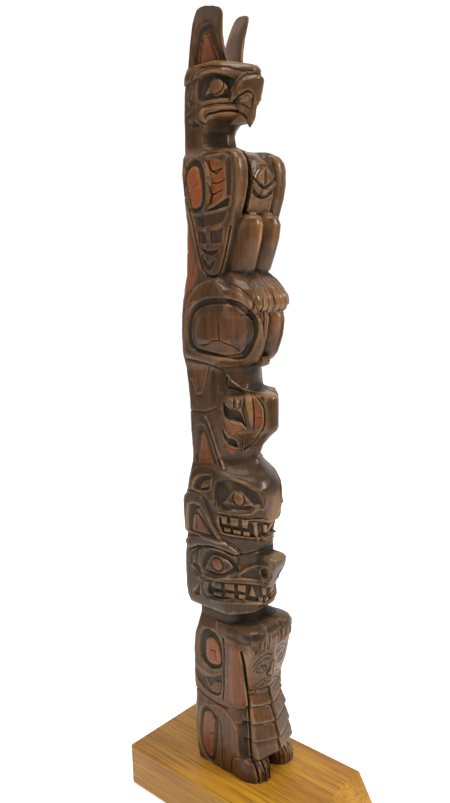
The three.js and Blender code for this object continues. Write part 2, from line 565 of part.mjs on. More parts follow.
function thinned(geometry, wanted) {
  const places = Float64Array.from(geometry.attributes.position.array);
  const faces = [];
  const corners = geometry.index.array;
  for (let i = 0; i < corners.length; i += 3) faces.push([corners[i], corners[i + 1], corners[i + 2]]);
  const count = places.length / 3;
  const quadrics = new Float64Array(count * 10);
  const around = Array.from({ length: count }, () => new Set());
  const stamp = new Uint32Array(count);
  const at = (v) => new THREE.Vector3(places[3 * v], places[3 * v + 1], places[3 * v + 2]);

  function normalOf(a, b, c) {
    return b.clone().sub(a).cross(c.clone().sub(a));
  }

  faces.forEach((face, index) => {
    const [a, b, c] = face.map(at);
    const normal = normalOf(a, b, c);
    const area = normal.length() / 2;
    if (area > 0) normal.normalize();
    const plane = [normal.x, normal.y, normal.z, -normal.dot(a)];
    face.forEach((vertex) => {
      addPlane(quadrics, vertex, plane, area);
      around[vertex].add(index);
    });
  });

  function neighbours(vertex) {
    const found = new Set();
    for (const index of around[vertex]) faces[index].forEach((other) => found.add(other));
    found.delete(vertex);
    return found;
  }

  function choose(a, b) {
    const q = Array.from({ length: 10 }, (_, k) => quadrics[10 * a + k] + quadrics[10 * b + k]);
    const start = at(a);
    const end = at(b);
    const middle = start.clone().add(end).multiplyScalar(0.5);
    const candidates = [start, end, middle];
    const m = new THREE.Matrix3().set(q[0], q[1], q[2], q[1], q[4], q[5], q[2], q[5], q[7]);
    if (Math.abs(m.determinant()) > LEAST_SOLVABLE) {
      const best = new THREE.Vector3(-q[3], -q[6], -q[8]).applyMatrix3(m.invert());
      if (best.distanceTo(middle) < FARTHEST_MOVE * start.distanceTo(end)) candidates.push(best);
    }
    let chosen = null;
    let cost = Infinity;
    for (const place of candidates) {
      const error = quadricError(q, place.x, place.y, place.z);
      if (error < cost) {
        cost = error;
        chosen = place;
      }
    }
    return { a, b, cost: cost + SHORT_EDGES_FIRST * start.distanceToSquared(end), place: chosen };
  }

  const heap = new EdgeHeap();
  function queue(a, b) {
    heap.push({ ...choose(a, b), stampA: stamp[a], stampB: stamp[b] });
  }
  for (const [a, b, c] of faces) {
    if (a < b) queue(a, b);
    if (b < c) queue(b, c);
    if (c < a) queue(c, a);
  }

  function turnsOver(vertex, other, place) {
    for (const index of around[vertex]) {
      const face = faces[index];
      if (face.includes(other)) continue;
      const before = normalOf(...face.map(at));
      const after = normalOf(...face.map((v) => (v === vertex ? place : at(v))));
      if (after.length() < LEAST_FACE) return true;
      if (before.dot(after) < LARGEST_TURN * before.length() * after.length()) return true;
    }
    return false;
  }

  let left = faces.length;
  while (left > wanted && heap.items.length > 0) {
    const { a, b, place, stampA, stampB } = heap.pop();
    if (stamp[a] !== stampA || stamp[b] !== stampB) continue;
    const besideA = neighbours(a);
    const shared = [...neighbours(b)].filter((v) => besideA.has(v));
    if (shared.length !== 2 || turnsOver(a, b, place) || turnsOver(b, a, place)) continue;
    place.toArray(places, 3 * a);
    for (let k = 0; k < 10; k += 1) quadrics[10 * a + k] += quadrics[10 * b + k];
    for (const index of around[b]) {
      const face = faces[index];
      if (face.includes(a)) {
        face.forEach((v) => around[v].delete(index));
        faces[index] = [];
        left -= 1;
      } else {
        face[face.indexOf(b)] = a;
        around[a].add(index);
      }
    }
    around[b].clear();
    stamp[b] += 1;
    stamp[a] += 1;
    for (const other of neighbours(a)) queue(a, other);
  }

  const result = new THREE.BufferGeometry();
  result.setAttribute('position', new THREE.Float32BufferAttribute(places, 3));
  result.setIndex(faces.flat());
  return result;
}

// Pieces
function carvedLog() {
  const profile = [new THREE.Vector2(0, 0)];
  for (let row = 0; row <= ROWS; row += 1) profile.push(new THREE.Vector2(1, (CROWN * row) / ROWS));
  profile.push(new THREE.Vector2(0, CROWN));
  const log = new THREE.LatheGeometry(profile, COLUMNS).rotateX(Math.PI / 2);
  const position = log.attributes.position;
  for (let i = 0; i < position.count; i += 1) {
    const x = position.getX(i);
    const y = position.getY(i);
    const height = position.getZ(i);
    if (Math.hypot(x, y) < 0.5) continue;
    const even = Math.abs(Math.atan2(x, -y));
    const angle = even - FRONT_CROWDING * Math.sin(even);
    const reach = carvedReach(angle, height);
    position.setXY(i, Math.sign(x) * reach * Math.sin(angle), -reach * Math.cos(angle));
  }
  return thinned(weld(log), POLE_TRIANGLES);
}

// A horn: a board standing on the crown, hollowed on its outer face round a raised tongue.
// Its drawings are [along the board, up]; it is turned in toward the front and leans outward.
const HORN_OUT = 14.5;
const HORN_LEVEL = 570;
const HORN_THICK = 4.6;
const HORN_TURN = THREE.MathUtils.degToRad(16.2);
const HORN_LEAN = 0.223;
const HORN_OUTLINE = [[-23.5, 546], [-22.6, 561], [-19.2, 571.6], [-16.2, 580.2], [-13.3, 587.8],
  [-10.8, 593], [-8.6, 596.2], [-5.4, 597.6], [-1, 598], [5, 597.2], [9.2, 595.8], [10.8, 594],
  [10.9, 591.6],
  [9.4, 586.6], [8.1, 579.5], [8, 572], [8.6, 565.6], [11.4, 557], [12.4, 546]];
const HORN_HOLLOW = [[-20.6, 547], [-14.5, 570.3], [-9.1, 582.7], [-6.4, 586.2], [0.6, 587.3],
  [3.5, 585.4], [4, 578.5], [6.2, 569.4], [8.8, 562.1], [8.4, 547]];
const HORN_TONGUE = [[-18.3, 547], [-11.2, 573.3], [-7, 580.7], [-3.5, 582.5], [-0.4, 581.3],
  [0.9, 576.3], [5, 561.7], [4.6, 547]];
const HORN_CUT = 1.9;
const TONGUE_RISE = 1.1;

// Extrudes a side outline, given as [forward, up], between two places across
function sideBoard(outline, from, to) {
  const shape = new THREE.Shape(outline.map(([forward, up]) => new THREE.Vector2(forward, up)));
  const board = new THREE.ExtrudeGeometry(shape, { depth: to - from, bevelEnabled: false });
  const turn = new THREE.Matrix4().set(0, 0, -1, to, -1, 0, 0, 0, 0, 1, 0, 0, 0, 0, 0, 1);
  return board.applyMatrix4(turn);
}

function flipped(geometry) {
  const index = [...geometry.index.array];
  for (let i = 0; i < index.length; i += 3) [index[i], index[i + 1]] = [index[i + 1], index[i]];
  geometry.setIndex(index);
  return geometry;
}

function horn() {
  const board = toSolid(sideBoard(HORN_OUTLINE, -HORN_THICK, 0));
  const hollow = toSolid(sideBoard(HORN_HOLLOW, -HORN_CUT, 1));
  const tongue = toSolid(sideBoard(HORN_TONGUE, -HORN_CUT - 1, -HORN_CUT + TONGUE_RISE));
  const upright = toGeometry(board.subtract(hollow).add(tongue));
  const stand = new THREE.Matrix4().set(
    1, Math.sin(HORN_TURN), HORN_LEAN, HORN_OUT - HORN_LEAN * HORN_LEVEL,
    0, Math.cos(HORN_TURN), 0, 0,
    0, 0, 1, 0,
    0, 0, 0, 1);
  return upright.applyMatrix4(stand);
}

function poleGeometry() {
  const right = horn();
  const left = flipped(right.clone().scale(-1, 1, 1));
  const pole = toSolid(carvedLog()).add(toSolid(right)).add(toSolid(left));
  return toGeometry(pole).scale(partSize, partSize, partSize);
}

// The base: a board with small chamfers on its top edges and a front end that slopes out
function baseGeometry() {
  const footLength = BASE_LENGTH + BASE_FRONT_RUN;
  const back = -footLength / 2;
  const front = footLength / 2;
  const slope = BASE_FRONT_RUN / BASE_THICKNESS;
  const lengthways = [[back, 0], [front, 0],
    [front - slope * (BASE_THICKNESS - BASE_EDGE), BASE_THICKNESS - BASE_EDGE],
    [front - BASE_FRONT_RUN - BASE_EDGE, BASE_THICKNESS],
    [back + BASE_EDGE, BASE_THICKNESS], [back, BASE_THICKNESS - BASE_EDGE]];
  const half = BASE_WIDTH / 2;
  const block = toSolid(sideBoard(lengthways, -half, half));
  const across = new THREE.Shape([[-half, -1], [half, -1], [half, BASE_THICKNESS - BASE_EDGE],
    [half - BASE_EDGE, BASE_THICKNESS], [half - BASE_EDGE, BASE_THICKNESS + 1],
    [BASE_EDGE - half, BASE_THICKNESS + 1], [BASE_EDGE - half, BASE_THICKNESS],
    [-half, BASE_THICKNESS - BASE_EDGE]].map(([x, z]) => new THREE.Vector2(x, z)));
  const sides = new THREE.ExtrudeGeometry(across, { depth: footLength + 2, bevelEnabled: false })
    .rotateX(Math.PI / 2).translate(0, footLength / 2 + 1, 0);
  return toGeometry(block.intersect(toSolid(sides)));
}

const cedar = new THREE.MeshStandardMaterial({ color: 0x4a2a1c, roughness: 0.38, metalness: 0 });
const stainedBoard = new THREE.MeshStandardMaterial({ color: 0xa8741f, roughness: 0.45, metalness: 0 });

const pole = new THREE.Mesh(poleGeometry(), cedar);
pole.name = 'totem_pole';
const footBack = (BASE_LENGTH + BASE_FRONT_RUN) / 2;
pole.position.set(POLE_ASIDE, footBack - POLE_FROM_BACK, BASE_THICKNESS + SEAT_GAP);

const base = new THREE.Mesh(baseGeometry(), stainedBoard);
base.name = 'base_board';

const totem = new THREE.Group();
totem.add(base, pole);

export default totem;
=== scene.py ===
# A carved totem pole on its wooden base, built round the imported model.
# The carving is worked out in millimetres from the pole's axis at the base's top, with y toward the front.
import bpy
import math
import numpy as np
from mathutils import Matrix, Vector


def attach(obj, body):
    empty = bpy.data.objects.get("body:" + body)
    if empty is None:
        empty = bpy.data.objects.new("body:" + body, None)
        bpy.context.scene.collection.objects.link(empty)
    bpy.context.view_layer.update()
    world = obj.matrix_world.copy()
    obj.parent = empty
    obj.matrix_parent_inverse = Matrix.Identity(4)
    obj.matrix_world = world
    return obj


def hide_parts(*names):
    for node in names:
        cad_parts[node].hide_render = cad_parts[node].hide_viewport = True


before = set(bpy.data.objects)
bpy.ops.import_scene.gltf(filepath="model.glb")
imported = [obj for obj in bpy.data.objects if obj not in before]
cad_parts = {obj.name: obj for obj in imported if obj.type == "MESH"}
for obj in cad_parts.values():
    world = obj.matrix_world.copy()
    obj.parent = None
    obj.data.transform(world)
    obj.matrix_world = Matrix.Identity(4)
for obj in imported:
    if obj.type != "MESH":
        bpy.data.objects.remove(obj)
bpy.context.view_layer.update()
print("frame loaded:", sorted(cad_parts))

mm = 0.001

pole = {
    "columns": 400,          # corners round the log
    "rows": 1130,            # corners up the log
    "crown": 563,            # height of the eagle's crown
    "triangles": 186000,     # how many triangles the finished pole is thinned to; what the finished pole may have
    "aside": 6,              # where the axis stands on the board
    "behind": 13,
    "seat": 38.3,            # height of the pole's foot
    "frontCrowding": 0.275,  # how much closer the columns stand at the front
    "unevenness": 0.14,      # slow waviness left by the hand
    "backCrispness": 24,     # how sharp the corners are behind the sides
    "massCrispness": 40,     # and on the masses that stand out of the trunk
    "creaseAngle": 55,       # edges that turn more than this stay hard, in degrees
    # how sharp the trunk's front corners are, by height: rounder at the throats and on the upper head's crown
    "crispness": [(118, 24), (126, 10), (140, 10), (144, 24), (246, 24), (256, 8), (284, 8), (296, 24),
                  (322, 24), (328, 8), (338, 8), (344, 24), (499, 24), (502, 7), (520, 7), (524, 24)],
    "browFoot": 545,         # the brow's lower edge at the front
    "browArch": 8,           # and how much higher it is at the side
}

# Where the flat cuts of a section face, from the front round to the back
cutAngles = np.radians([0, 42, 90, 138, 180])


# A mass on the front alone, given by height, front, front corner and side: its rear stays inside the trunk
def onFront(rear, *rows):
    return [(*row, rear, rear) for row in rows]


# Masses of the log. Hewn ones: height, front, front corner, side, rear corner, back.
# Round ones: height, aside, forward, half width, half depth.
# The bear's copper shield: height, middle, edge aside, edge forward.
masses = {
    "trunk": [(0, 26, 33, 28, 39.6, 28.6), (12, 27, 34, 28.6, 41.4, 30), (30, 27, 33, 28.8, 42, 30.4),
        (50, 25, 32, 28.4, 42, 30), (57, 24, 30, 27.2, 41.6, 29.6), (64, 25, 30, 27.8, 42, 29.8),
        (70, 25, 30.5, 28.8, 42.2, 30), (100, 26, 31, 28.6, 41.8, 29.6), (115, 26, 30, 27.4, 40.6, 28.6),
        (124, 23, 26, 25.6, 37.4, 26), (133, 20, 23, 23, 34, 24.8), (141.5, 20, 23.2, 22.6, 33.8, 24.8),
        (144, 26.5, 29.4, 29.6, 42.6, 30.5), (150, 30, 30, 31, 44.8, 32.4), (158, 31.5, 30, 31.6, 46, 33),
        (176, 32, 30, 31.6, 45.8, 33), (186, 29.5, 28.6, 31.6, 45.4, 32.4),
        (203, 28.4, 28.6, 30.6, 43, 30.6), (208, 30.6, 29, 30.5, 43.4, 31),
        (217.6, 34, 30.8, 30.5, 43.9, 31.4), (219.6, 37.4, 34.6, 30.5, 44, 31.6),
        (234, 38, 35.6, 30.5, 44.4, 31.4), (241, 37.8, 35.4, 30, 41.6, 29.4),
        (248, 37.2, 34.4, 29.4, 40, 28.4), (253, 35, 31.6, 28.6, 38.4, 27.9),
        (259, 30.6, 26.6, 27, 36.8, 27.2), (264, 25.6, 21.4, 25.6, 35.8, 26.8),
        (268, 23.4, 18.6, 25, 35.4, 26.8), (274, 25, 20.6, 25, 35.4, 26.8), (290, 25, 26.6, 26, 36.2, 26.8),
        (313, 24, 26.6, 26.5, 36, 26.8), (326, 21, 22, 26.8, 37, 27.2), (339, 21.4, 22, 27.6, 38.2, 28),
        (344, 22, 23.6, 29, 39.4, 28), (350, 26, 31, 30.5, 40.4, 28.2), (364, 31, 36.6, 31.2, 40.8, 28.4),
        (380, 33, 38.6, 31.2, 39.6, 28.2), (390, 31, 36.6, 31, 38.2, 27.8), (400, 26, 32.6, 30, 37, 27.4),
        (407, 22, 26, 28, 35.8, 27), (411, 19, 24, 26.6, 35, 26.4), (426, 18, 23, 25.6, 34.4, 26),
        (449, 22, 26, 25.6, 33, 25.6), (461, 26, 30, 26.6, 33.6, 25.4), (485, 28, 33, 27, 35.8, 25.4),
        (496, 26, 31, 26, 34.4, 25.4), (499.5, 12, 17, 22, 34, 25.4), (504, 4.6, 6.4, 18.8, 34.4, 28.4),
        (512, 3.6, 5.2, 18, 34.4, 28.6), (517, 5, 7, 18.2, 34.2, 28.2), (521, 8, 10.4, 18.8, 34, 27.8),
        (524, 16, 18.4, 20, 33.8, 27), (541, 20, 22, 20.5, 32.2, 25.6), (557, 20, 21, 18.6, 30.2, 24.4),
        (561, 12, 15, 17.5, 29, 23.8), (563, 3, 5, 8, 20, 18)],
    "beak": onFront(20, (518.6, 22.3, 16.8, 4.4), (524, 25.4, 19.6, 6.4), (532, 28.6, 22.8, 9.4),
        (540, 30.3, 24.8, 12.4), (546, 31.6, 26, 13.6), (548.5, 32, 26, 13.2), (550, 31, 25, 12)),
    "brow": [(544, 30.4, 25.4, 21, 31.8, 25.6), (554, 30, 25, 20.8, 31, 25.2),
        (557, 27, 23, 19.8, 29.8, 24.2), (560, 16, 18, 18, 29, 23.6)],
    "wingMass": onFront(20, (409, 8, 24, 26.4), (412, 13, 27.5, 27.5), (435, 21.7, 34.2, 27.6),
        (455, 28, 39.6, 27.6), (465, 31.5, 42, 28), (475, 34, 43.6, 28), (485, 34.2, 43.8, 28),
        (491, 33, 42.2, 27.6), (495.5, 30, 39, 27.2), (499, 24, 31, 25.5)),
    "talonMass": onFront(20, (380, 34, 34, 24), (383, 39.4, 39, 26), (388, 42, 42.4, 27), (394, 41, 42, 27),
        (400, 37, 39.4, 26), (406, 31, 35, 24.5), (411, 25, 29, 22), (414, 20, 24, 20)),
    "knob": onFront(10, (341, 30, 24, 5), (343, 35.4, 27.2, 4.5), (347, 36.2, 27.8, 4.5),
        (349, 33, 25.5, 4)),
    "prow": onFront(20, (270, 24, 18.6, 24), (279, 28, 21.6, 25), (286, 34, 26.8, 26),
        (292, 41, 32.2, 26.6), (295, 42.4, 33.2, 26.8), (312, 42.4, 33.4, 26.8), (317, 42, 33.2, 26.8),
        (319.8, 41, 32, 26.8), (321.4, 30, 25, 26.8), (322.6, 22, 22, 26.8), (334, 17, 18, 26.8)),
    "pawTops": onFront(20, (119, 34, 40, 26), (122, 36.6, 43.6, 26.4), (127, 36.6, 43.8, 26),
        (131, 33.6, 41, 25), (133, 29, 36, 22)),
    "snout": onFront(10, (162, 32, 26, 8), (165, 35, 29.6, 9.2), (174, 38.6, 32.8, 9.8), (181, 42, 36, 10),
        (185, 44, 37.6, 10), (189, 44.6, 37.8, 9.6), (191.2, 42.5, 35.6, 8.6), (192.4, 32, 26, 7)),
    "thighs": [(409, 9, 14, 8, 11), (414, 9.6, 16, 10, 13), (424, 10, 18, 10.8, 14.8),
        (436, 10.4, 21, 11, 16), (446, 10.4, 22.6, 10.8, 16), (451, 10, 22.4, 9.6, 14.6),
        (455, 9, 21.4, 6, 11)],
    "lobes": [(343, 8, 12, 7, 13), (346, 8, 14.6, 8, 16.4), (352, 8.5, 16.6, 9, 18.4),
        (364, 9, 19.4, 10.2, 19.8), (378, 9, 21, 10.5, 20.4), (384, 9, 20, 10, 20)],
    "forearms": [(60, 17, 14, 8, 8), (63, 18.4, 14.6, 9.6, 9.4), (70, 19, 15, 10.2, 10),
        (100, 19, 16, 10.2, 10.4), (114, 18.6, 18.4, 10.4, 11.6), (122, 17, 20.6, 10, 12),
        (126, 16, 21, 8, 10)],
    "paws": [(114, 14, 22, 9, 14), (118, 15, 24, 11, 15), (126, 15.4, 25, 11.6, 14.6),
        (131, 15, 25, 11, 13.4), (133.6, 15, 24.6, 7, 10)],
    "calves": [(0, 17, 3, 11.6, 15), (20, 17.4, 3, 11.6, 15.5), (45, 17.6, 2, 11.4, 15.6),
        (54, 17, 1, 10.4, 14), (58, 16, 0, 8, 11)],
    "bearFeet": [(0, 15.4, 20, 13.4, 19.6), (4, 15.4, 20, 13.6, 20), (10, 15.2, 19.4, 13, 19.4),
        (16, 15, 18, 12, 17), (21, 15, 15.5, 9, 11.5)],
    "copper": [(20, 39.5, 22.5, 34), (21.5, 40.6, 23.4, 34.6), (30, 39.4, 23, 33.8), (60, 32.6, 20.6, 27.6),
        (74, 30.2, 18, 25.6), (82, 32, 21, 27), (92, 33.8, 24.4, 29), (110, 36.4, 26.6, 31.6),
        (121, 38, 27.2, 33.2), (123, 37, 26.6, 32.4)],
}
hewnMasses = [("beak", 1.2), ("brow", 0), ("wingMass", 0), ("talonMass", 0.8), ("prow", 0.5), ("snout", 1.2),
              ("knob", 0), ("pawTops", 0.6)]
roundMasses = [("thighs", 0.6), ("lobes", 0.6), ("forearms", 0.8), ("paws", 0.8), ("bearFeet", 0.6),
               ("calves", 0.6)]


def easeBetween(low, high, value):
    share = np.clip((value - low) / (high - low), 0, 1)
    return share * share * (3 - 2 * share)


def atHeight(height, stations, column):
    return np.interp(height, [s[0] for s in stations], [s[column] for s in stations])


def covers(height, stations):
    return (height >= stations[0][0]) & (height <= stations[-1][0])


# How far out a hewn section reaches: it stops at the nearest of its flat cuts, with softened corners
def hewnReach(angle, height, stations, crispness):
    total = np.zeros_like(angle)
    for k, cut in enumerate(cutAngles):
        facing = np.cos(angle - cut) / np.maximum(atHeight(height, stations, k + 1), 0.5)
        total += np.maximum(0, facing) ** crispness
    reach = np.maximum(total, 1e-290) ** (-1 / crispness)   # never a power of nothing
    return np.where(covers(height, stations), reach, 0)


# The same for a limb with an oval section that stands off the axis
def roundReach(angle, height, stations):
    aside, forward, halfWidth, halfDepth = [atHeight(height, stations, k) for k in (1, 2, 3, 4)]
    sine, cosine = np.sin(angle), np.cos(angle)
    a = (sine / halfWidth) ** 2 + (cosine / halfDepth) ** 2
    b = -2 * (sine * aside / halfWidth ** 2 + cosine * forward / halfDepth ** 2)
    c = (aside / halfWidth) ** 2 + (forward / halfDepth) ** 2 - 1
    inner = b * b - 4 * a * c
    reach = np.where(inner > 0, (-b + np.sqrt(np.maximum(inner, 0))) / (2 * a), 0)
    return np.where(covers(height, stations), np.maximum(reach, 0), 0)


shieldEnd = 1.3   # radians round from the front


# And for the shield: two flat faces that meet in the middle, with straight ends
def shieldReach(angle, height, stations):
    middle, edgeAside, edgeForward = [atHeight(height, stations, k) for k in (1, 2, 3)]
    slope = (middle - edgeForward) / edgeAside
    sine, cosine = np.sin(angle), np.cos(angle)
    face = middle / np.maximum(cosine + slope * sine, 0.05)
    reach = np.minimum(face, edgeAside / np.maximum(sine, 1e-4))
    return np.where(covers(height, stations) & (angle < shieldEnd), reach, 0)


# The larger of two reaches, with the crease between them filled
def softMax(a, b, blend):
    if blend <= 0:
        return np.maximum(a, b)
    share = np.clip(0.5 + 0.5 * (a - b) / blend, 0, 1)
    return b * (1 - share) + a * share + blend * share * (1 - share)


def logReach(angle, height):
    crispness = np.interp(height, *zip(*pole["crispness"]))
    crispness += (pole["backCrispness"] - crispness) * easeBetween(1.5, 1.9, angle)
    reach = hewnReach(angle, height, masses["trunk"], crispness)
    for name, blend in hewnMasses:
        mass = hewnReach(angle, height, masses[name], pole["massCrispness"])
        if name == "brow":
            foot = pole["browFoot"] + pole["browArch"] * np.sin(angle) ** 2
            mass = np.where(height < foot, 0, mass)
        reach = softMax(reach, mass, blend)
    for name, blend in roundMasses:
        reach = softMax(reach, roundReach(angle, height, masses[name]), blend)
    return np.maximum(reach, shieldReach(angle, height, masses["copper"]))


curveSteps = 5      # places on a curve for each point it passes through
ovalCorners = 16


# A smooth curve through points
def throughPoints(points, closed):
    spots = np.array(points, float)
    count = len(spots)
    found = []
    for i in range(count if closed else count - 1):
        if closed:
            p0, p1, p2, p3 = (spots[(i + k) % count] for k in (-1, 0, 1, 2))
        else:
            p0, p1, p2, p3 = spots[max(i - 1, 0)], spots[i], spots[i + 1], spots[min(i + 2, count - 1)]
        for t in np.arange(curveSteps) / curveSteps:
            found.append(0.5 * (2 * p1 + (p2 - p0) * t + (2 * p0 - 5 * p1 + 4 * p2 - p3) * t * t
                                + (3 * p1 - p0 - 3 * p2 + p3) * t ** 3))
    if not closed:
        found.append(spots[-1])
    return np.array(found)


# How far each place is from the nearest part of a line
def distanceTo(line, closed, along, up):
    nearest = np.full(along.shape, 1e9)
    count = len(line)
    for i in range(count if closed else count - 1):
        start, step = line[i], line[(i + 1) % count] - line[i]
        share = ((along - start[0]) * step[0] + (up - start[1]) * step[1]) / (step @ step + 1e-12)
        share = np.clip(share, 0, 1)
        nearest = np.minimum(nearest, (along - start[0] - share * step[0]) ** 2
                             + (up - start[1] - share * step[1]) ** 2)
    return np.sqrt(nearest)


def isInside(outline, along, up):
    inside = np.zeros(along.shape, bool)
    for start, end in zip(outline, np.roll(outline, -1, axis=0)):
        if start[1] != end[1]:
            crossing = (end[0] - start[0]) * (up - start[1]) / (end[1] - start[1]) + start[0]
            inside ^= ((start[1] > up) != (end[1] > up)) & (along < crossing)
    return inside


def oval(along, up, width, tall, turn=0):
    around = np.arange(ovalCorners) * 2 * math.pi / ovalCorners
    x, y = np.cos(around) * width / 2, np.sin(around) * tall / 2
    sine, cosine = math.sin(math.radians(turn)), math.cos(math.radians(turn))
    return list(zip(along + x * cosine - y * sine, up + x * sine + y * cosine))


# The side drawing lies on the flank and wraps round the front corner, slanting as it goes inward
sideDrawing = {
    "flank": 30,       # how far aside the flank stands
    "wrap": 0.9,       # how far along the drawing each step inward goes
    "level": 424.9,    # the height where the wrap doesn't slant
    "spread": 441,     # how far from that level the slant would be one in one
    "rearEdge": 15,    # behind the axis, only what stands further aside than this is covered
}

knife = {
    "deepPatch": 2.2,      # a patch this deep is in full shade
    "deepGroove": 1.2,     # and so is a groove this deep
    "grooveShade": 1.6,    # how far a groove's shade spreads up its sides
    "ridgeWear": 0.7,      # how rubbed a bead is
}
paintOnly = 0.01           # the rise of a patch that only stains or rubs


# What the knives do to a surface. Places are (along, up) on a drawing laid over it;
# cut is how far the surface moves out, stain is red paint, hollow is painted shade and a darkening by height,
# and the fourth mark holds rubbed edges and painted highlights.
class Carving:
    def __init__(self, aside, forward, height):
        self.aside, self.forward, self.height = aside, forward, height
        self.cut = np.zeros_like(aside)
        self.stain = np.zeros_like(aside)
        self.hollow = np.zeros_like(aside)
        self.wornAndHighlit = np.zeros_like(aside)

    # over the flank, wrapped round the front corner on a slant
    def layOnSide(self):
        inward = sideDrawing["flank"] - self.aside
        self.along = self.forward + sideDrawing["wrap"] * inward
        self.up = self.height + (sideDrawing["level"] - self.height) / sideDrawing["spread"] * inward
        self.shown = self.aside > np.where(self.forward < 0, sideDrawing["rearEdge"], -1)

    # seen straight from the front
    def layOnFront(self, behind=10):
        self.along, self.up = self.aside, self.height
        self.shown = self.forward > behind

    def spotsNear(self, line, margin):
        low, high = line.min(0) - margin, line.max(0) + margin
        return np.nonzero((self.up > low[1]) & (self.up < high[1]) & (self.along > low[0])
                          & (self.along < high[0]) & self.shown)[0]

    # raises or lowers the inside of an outline, with a sloped edge
    def patch(self, outline, rise, edge=1.0, stain=None, straight=False, wear=None):
        line = np.array(outline, float) if straight else throughPoints(outline, True)
        spots = self.spotsNear(line, 0.1)
        spots = spots[isInside(line, self.along[spots], self.up[spots])]
        amount = easeBetween(0, edge, distanceTo(line, True, self.along[spots], self.up[spots]))
        self.cut[spots] += rise * amount
        if rise < 0:
            shade = amount * min(1, -rise / knife["deepPatch"])
            self.hollow[spots] = np.maximum(self.hollow[spots], shade)
        else:
            self.hollow[spots] *= 1 - amount
        if stain is not None:
            self.stain[spots] = np.where(amount > 0.5, stain, self.stain[spots])
        if wear is not None:
            self.wornAndHighlit[spots] = np.maximum(self.wornAndHighlit[spots], wear * amount)

    # a patch with straight sides
    def facet(self, outline, rise, edge=1.0, **paint):
        self.patch(outline, rise, edge, straight=True, **paint)

    # a V cut along a line
    def groove(self, line, width, depth, straight=False, closed=False):
        line = np.array(line, float) if straight else throughPoints(line, closed)
        spots = self.spotsNear(line, width)
        amount = 1 - distanceTo(line, closed, self.along[spots], self.up[spots]) / (width / 2)
        amount = np.clip(amount, 0, 1)
        self.cut[spots] -= depth * amount
        shade = np.clip(amount * knife["grooveShade"], 0, 1) * min(1, depth / knife["deepGroove"])
        self.hollow[spots] = np.maximum(self.hollow[spots], shade)

    # a V cut from point to point
    def slit(self, line, width, depth):
        self.groove(line, width, depth, straight=True)

    # a V cut that closes on itself
    def ring(self, outline, width, depth):
        self.groove(outline, width, depth, closed=True)

    # a rounded bead along a line
    def ridge(self, line, width, rise):
        line = throughPoints(line, False)
        spots = self.spotsNear(line, width)
        away = distanceTo(line, False, self.along[spots], self.up[spots])
        amount = easeBetween(width / 2, 0, away)
        self.cut[spots] += rise * amount
        self.wornAndHighlit[spots] = np.maximum(self.wornAndHighlit[spots], knife["ridgeWear"] * amount)


eye = {
    "lidShare": 0.72,    # how far out of its hollow the lid stands
    "lidEdge": 1.8,
    "ringWidth": 1.5,
    "ringDepth": 1.1,
    "ballRise": 0.9,
    "ballEdge": 2.6,
}


# A carved eye: a hollow, an almond lid standing in it and a ringed ball on the lid
def carveEye(log, socket, lid, ball, depth, slope, stain=1):
    log.patch(socket, -depth, slope)
    log.patch(lid, depth * eye["lidShare"], eye["lidEdge"])
    log.ring(oval(*ball), eye["ringWidth"], eye["ringDepth"])
    log.facet(oval(*ball), eye["ballRise"], eye["ballEdge"], stain=stain)


# A row of teeth, each from one place to another along a jaw that climbs. Gums and tips are heights
# at a tooth's two edges, and upper teeth narrow toward their tips.
def carveTeeth(log, spans, gums, tips, climb, tipClimb=1, narrowing=0, rise=2.2, edge=1.1, wear=0.4):
    for start, end in spans:
        lift = climb * start
        tipLift = lift * tipClimb
        log.facet([(start, gums[0] + lift), (end, gums[1] + lift), (end - narrowing, tips[1] + tipLift),
                   (start + narrowing, tips[0] + tipLift)], rise, edge, wear=wear)


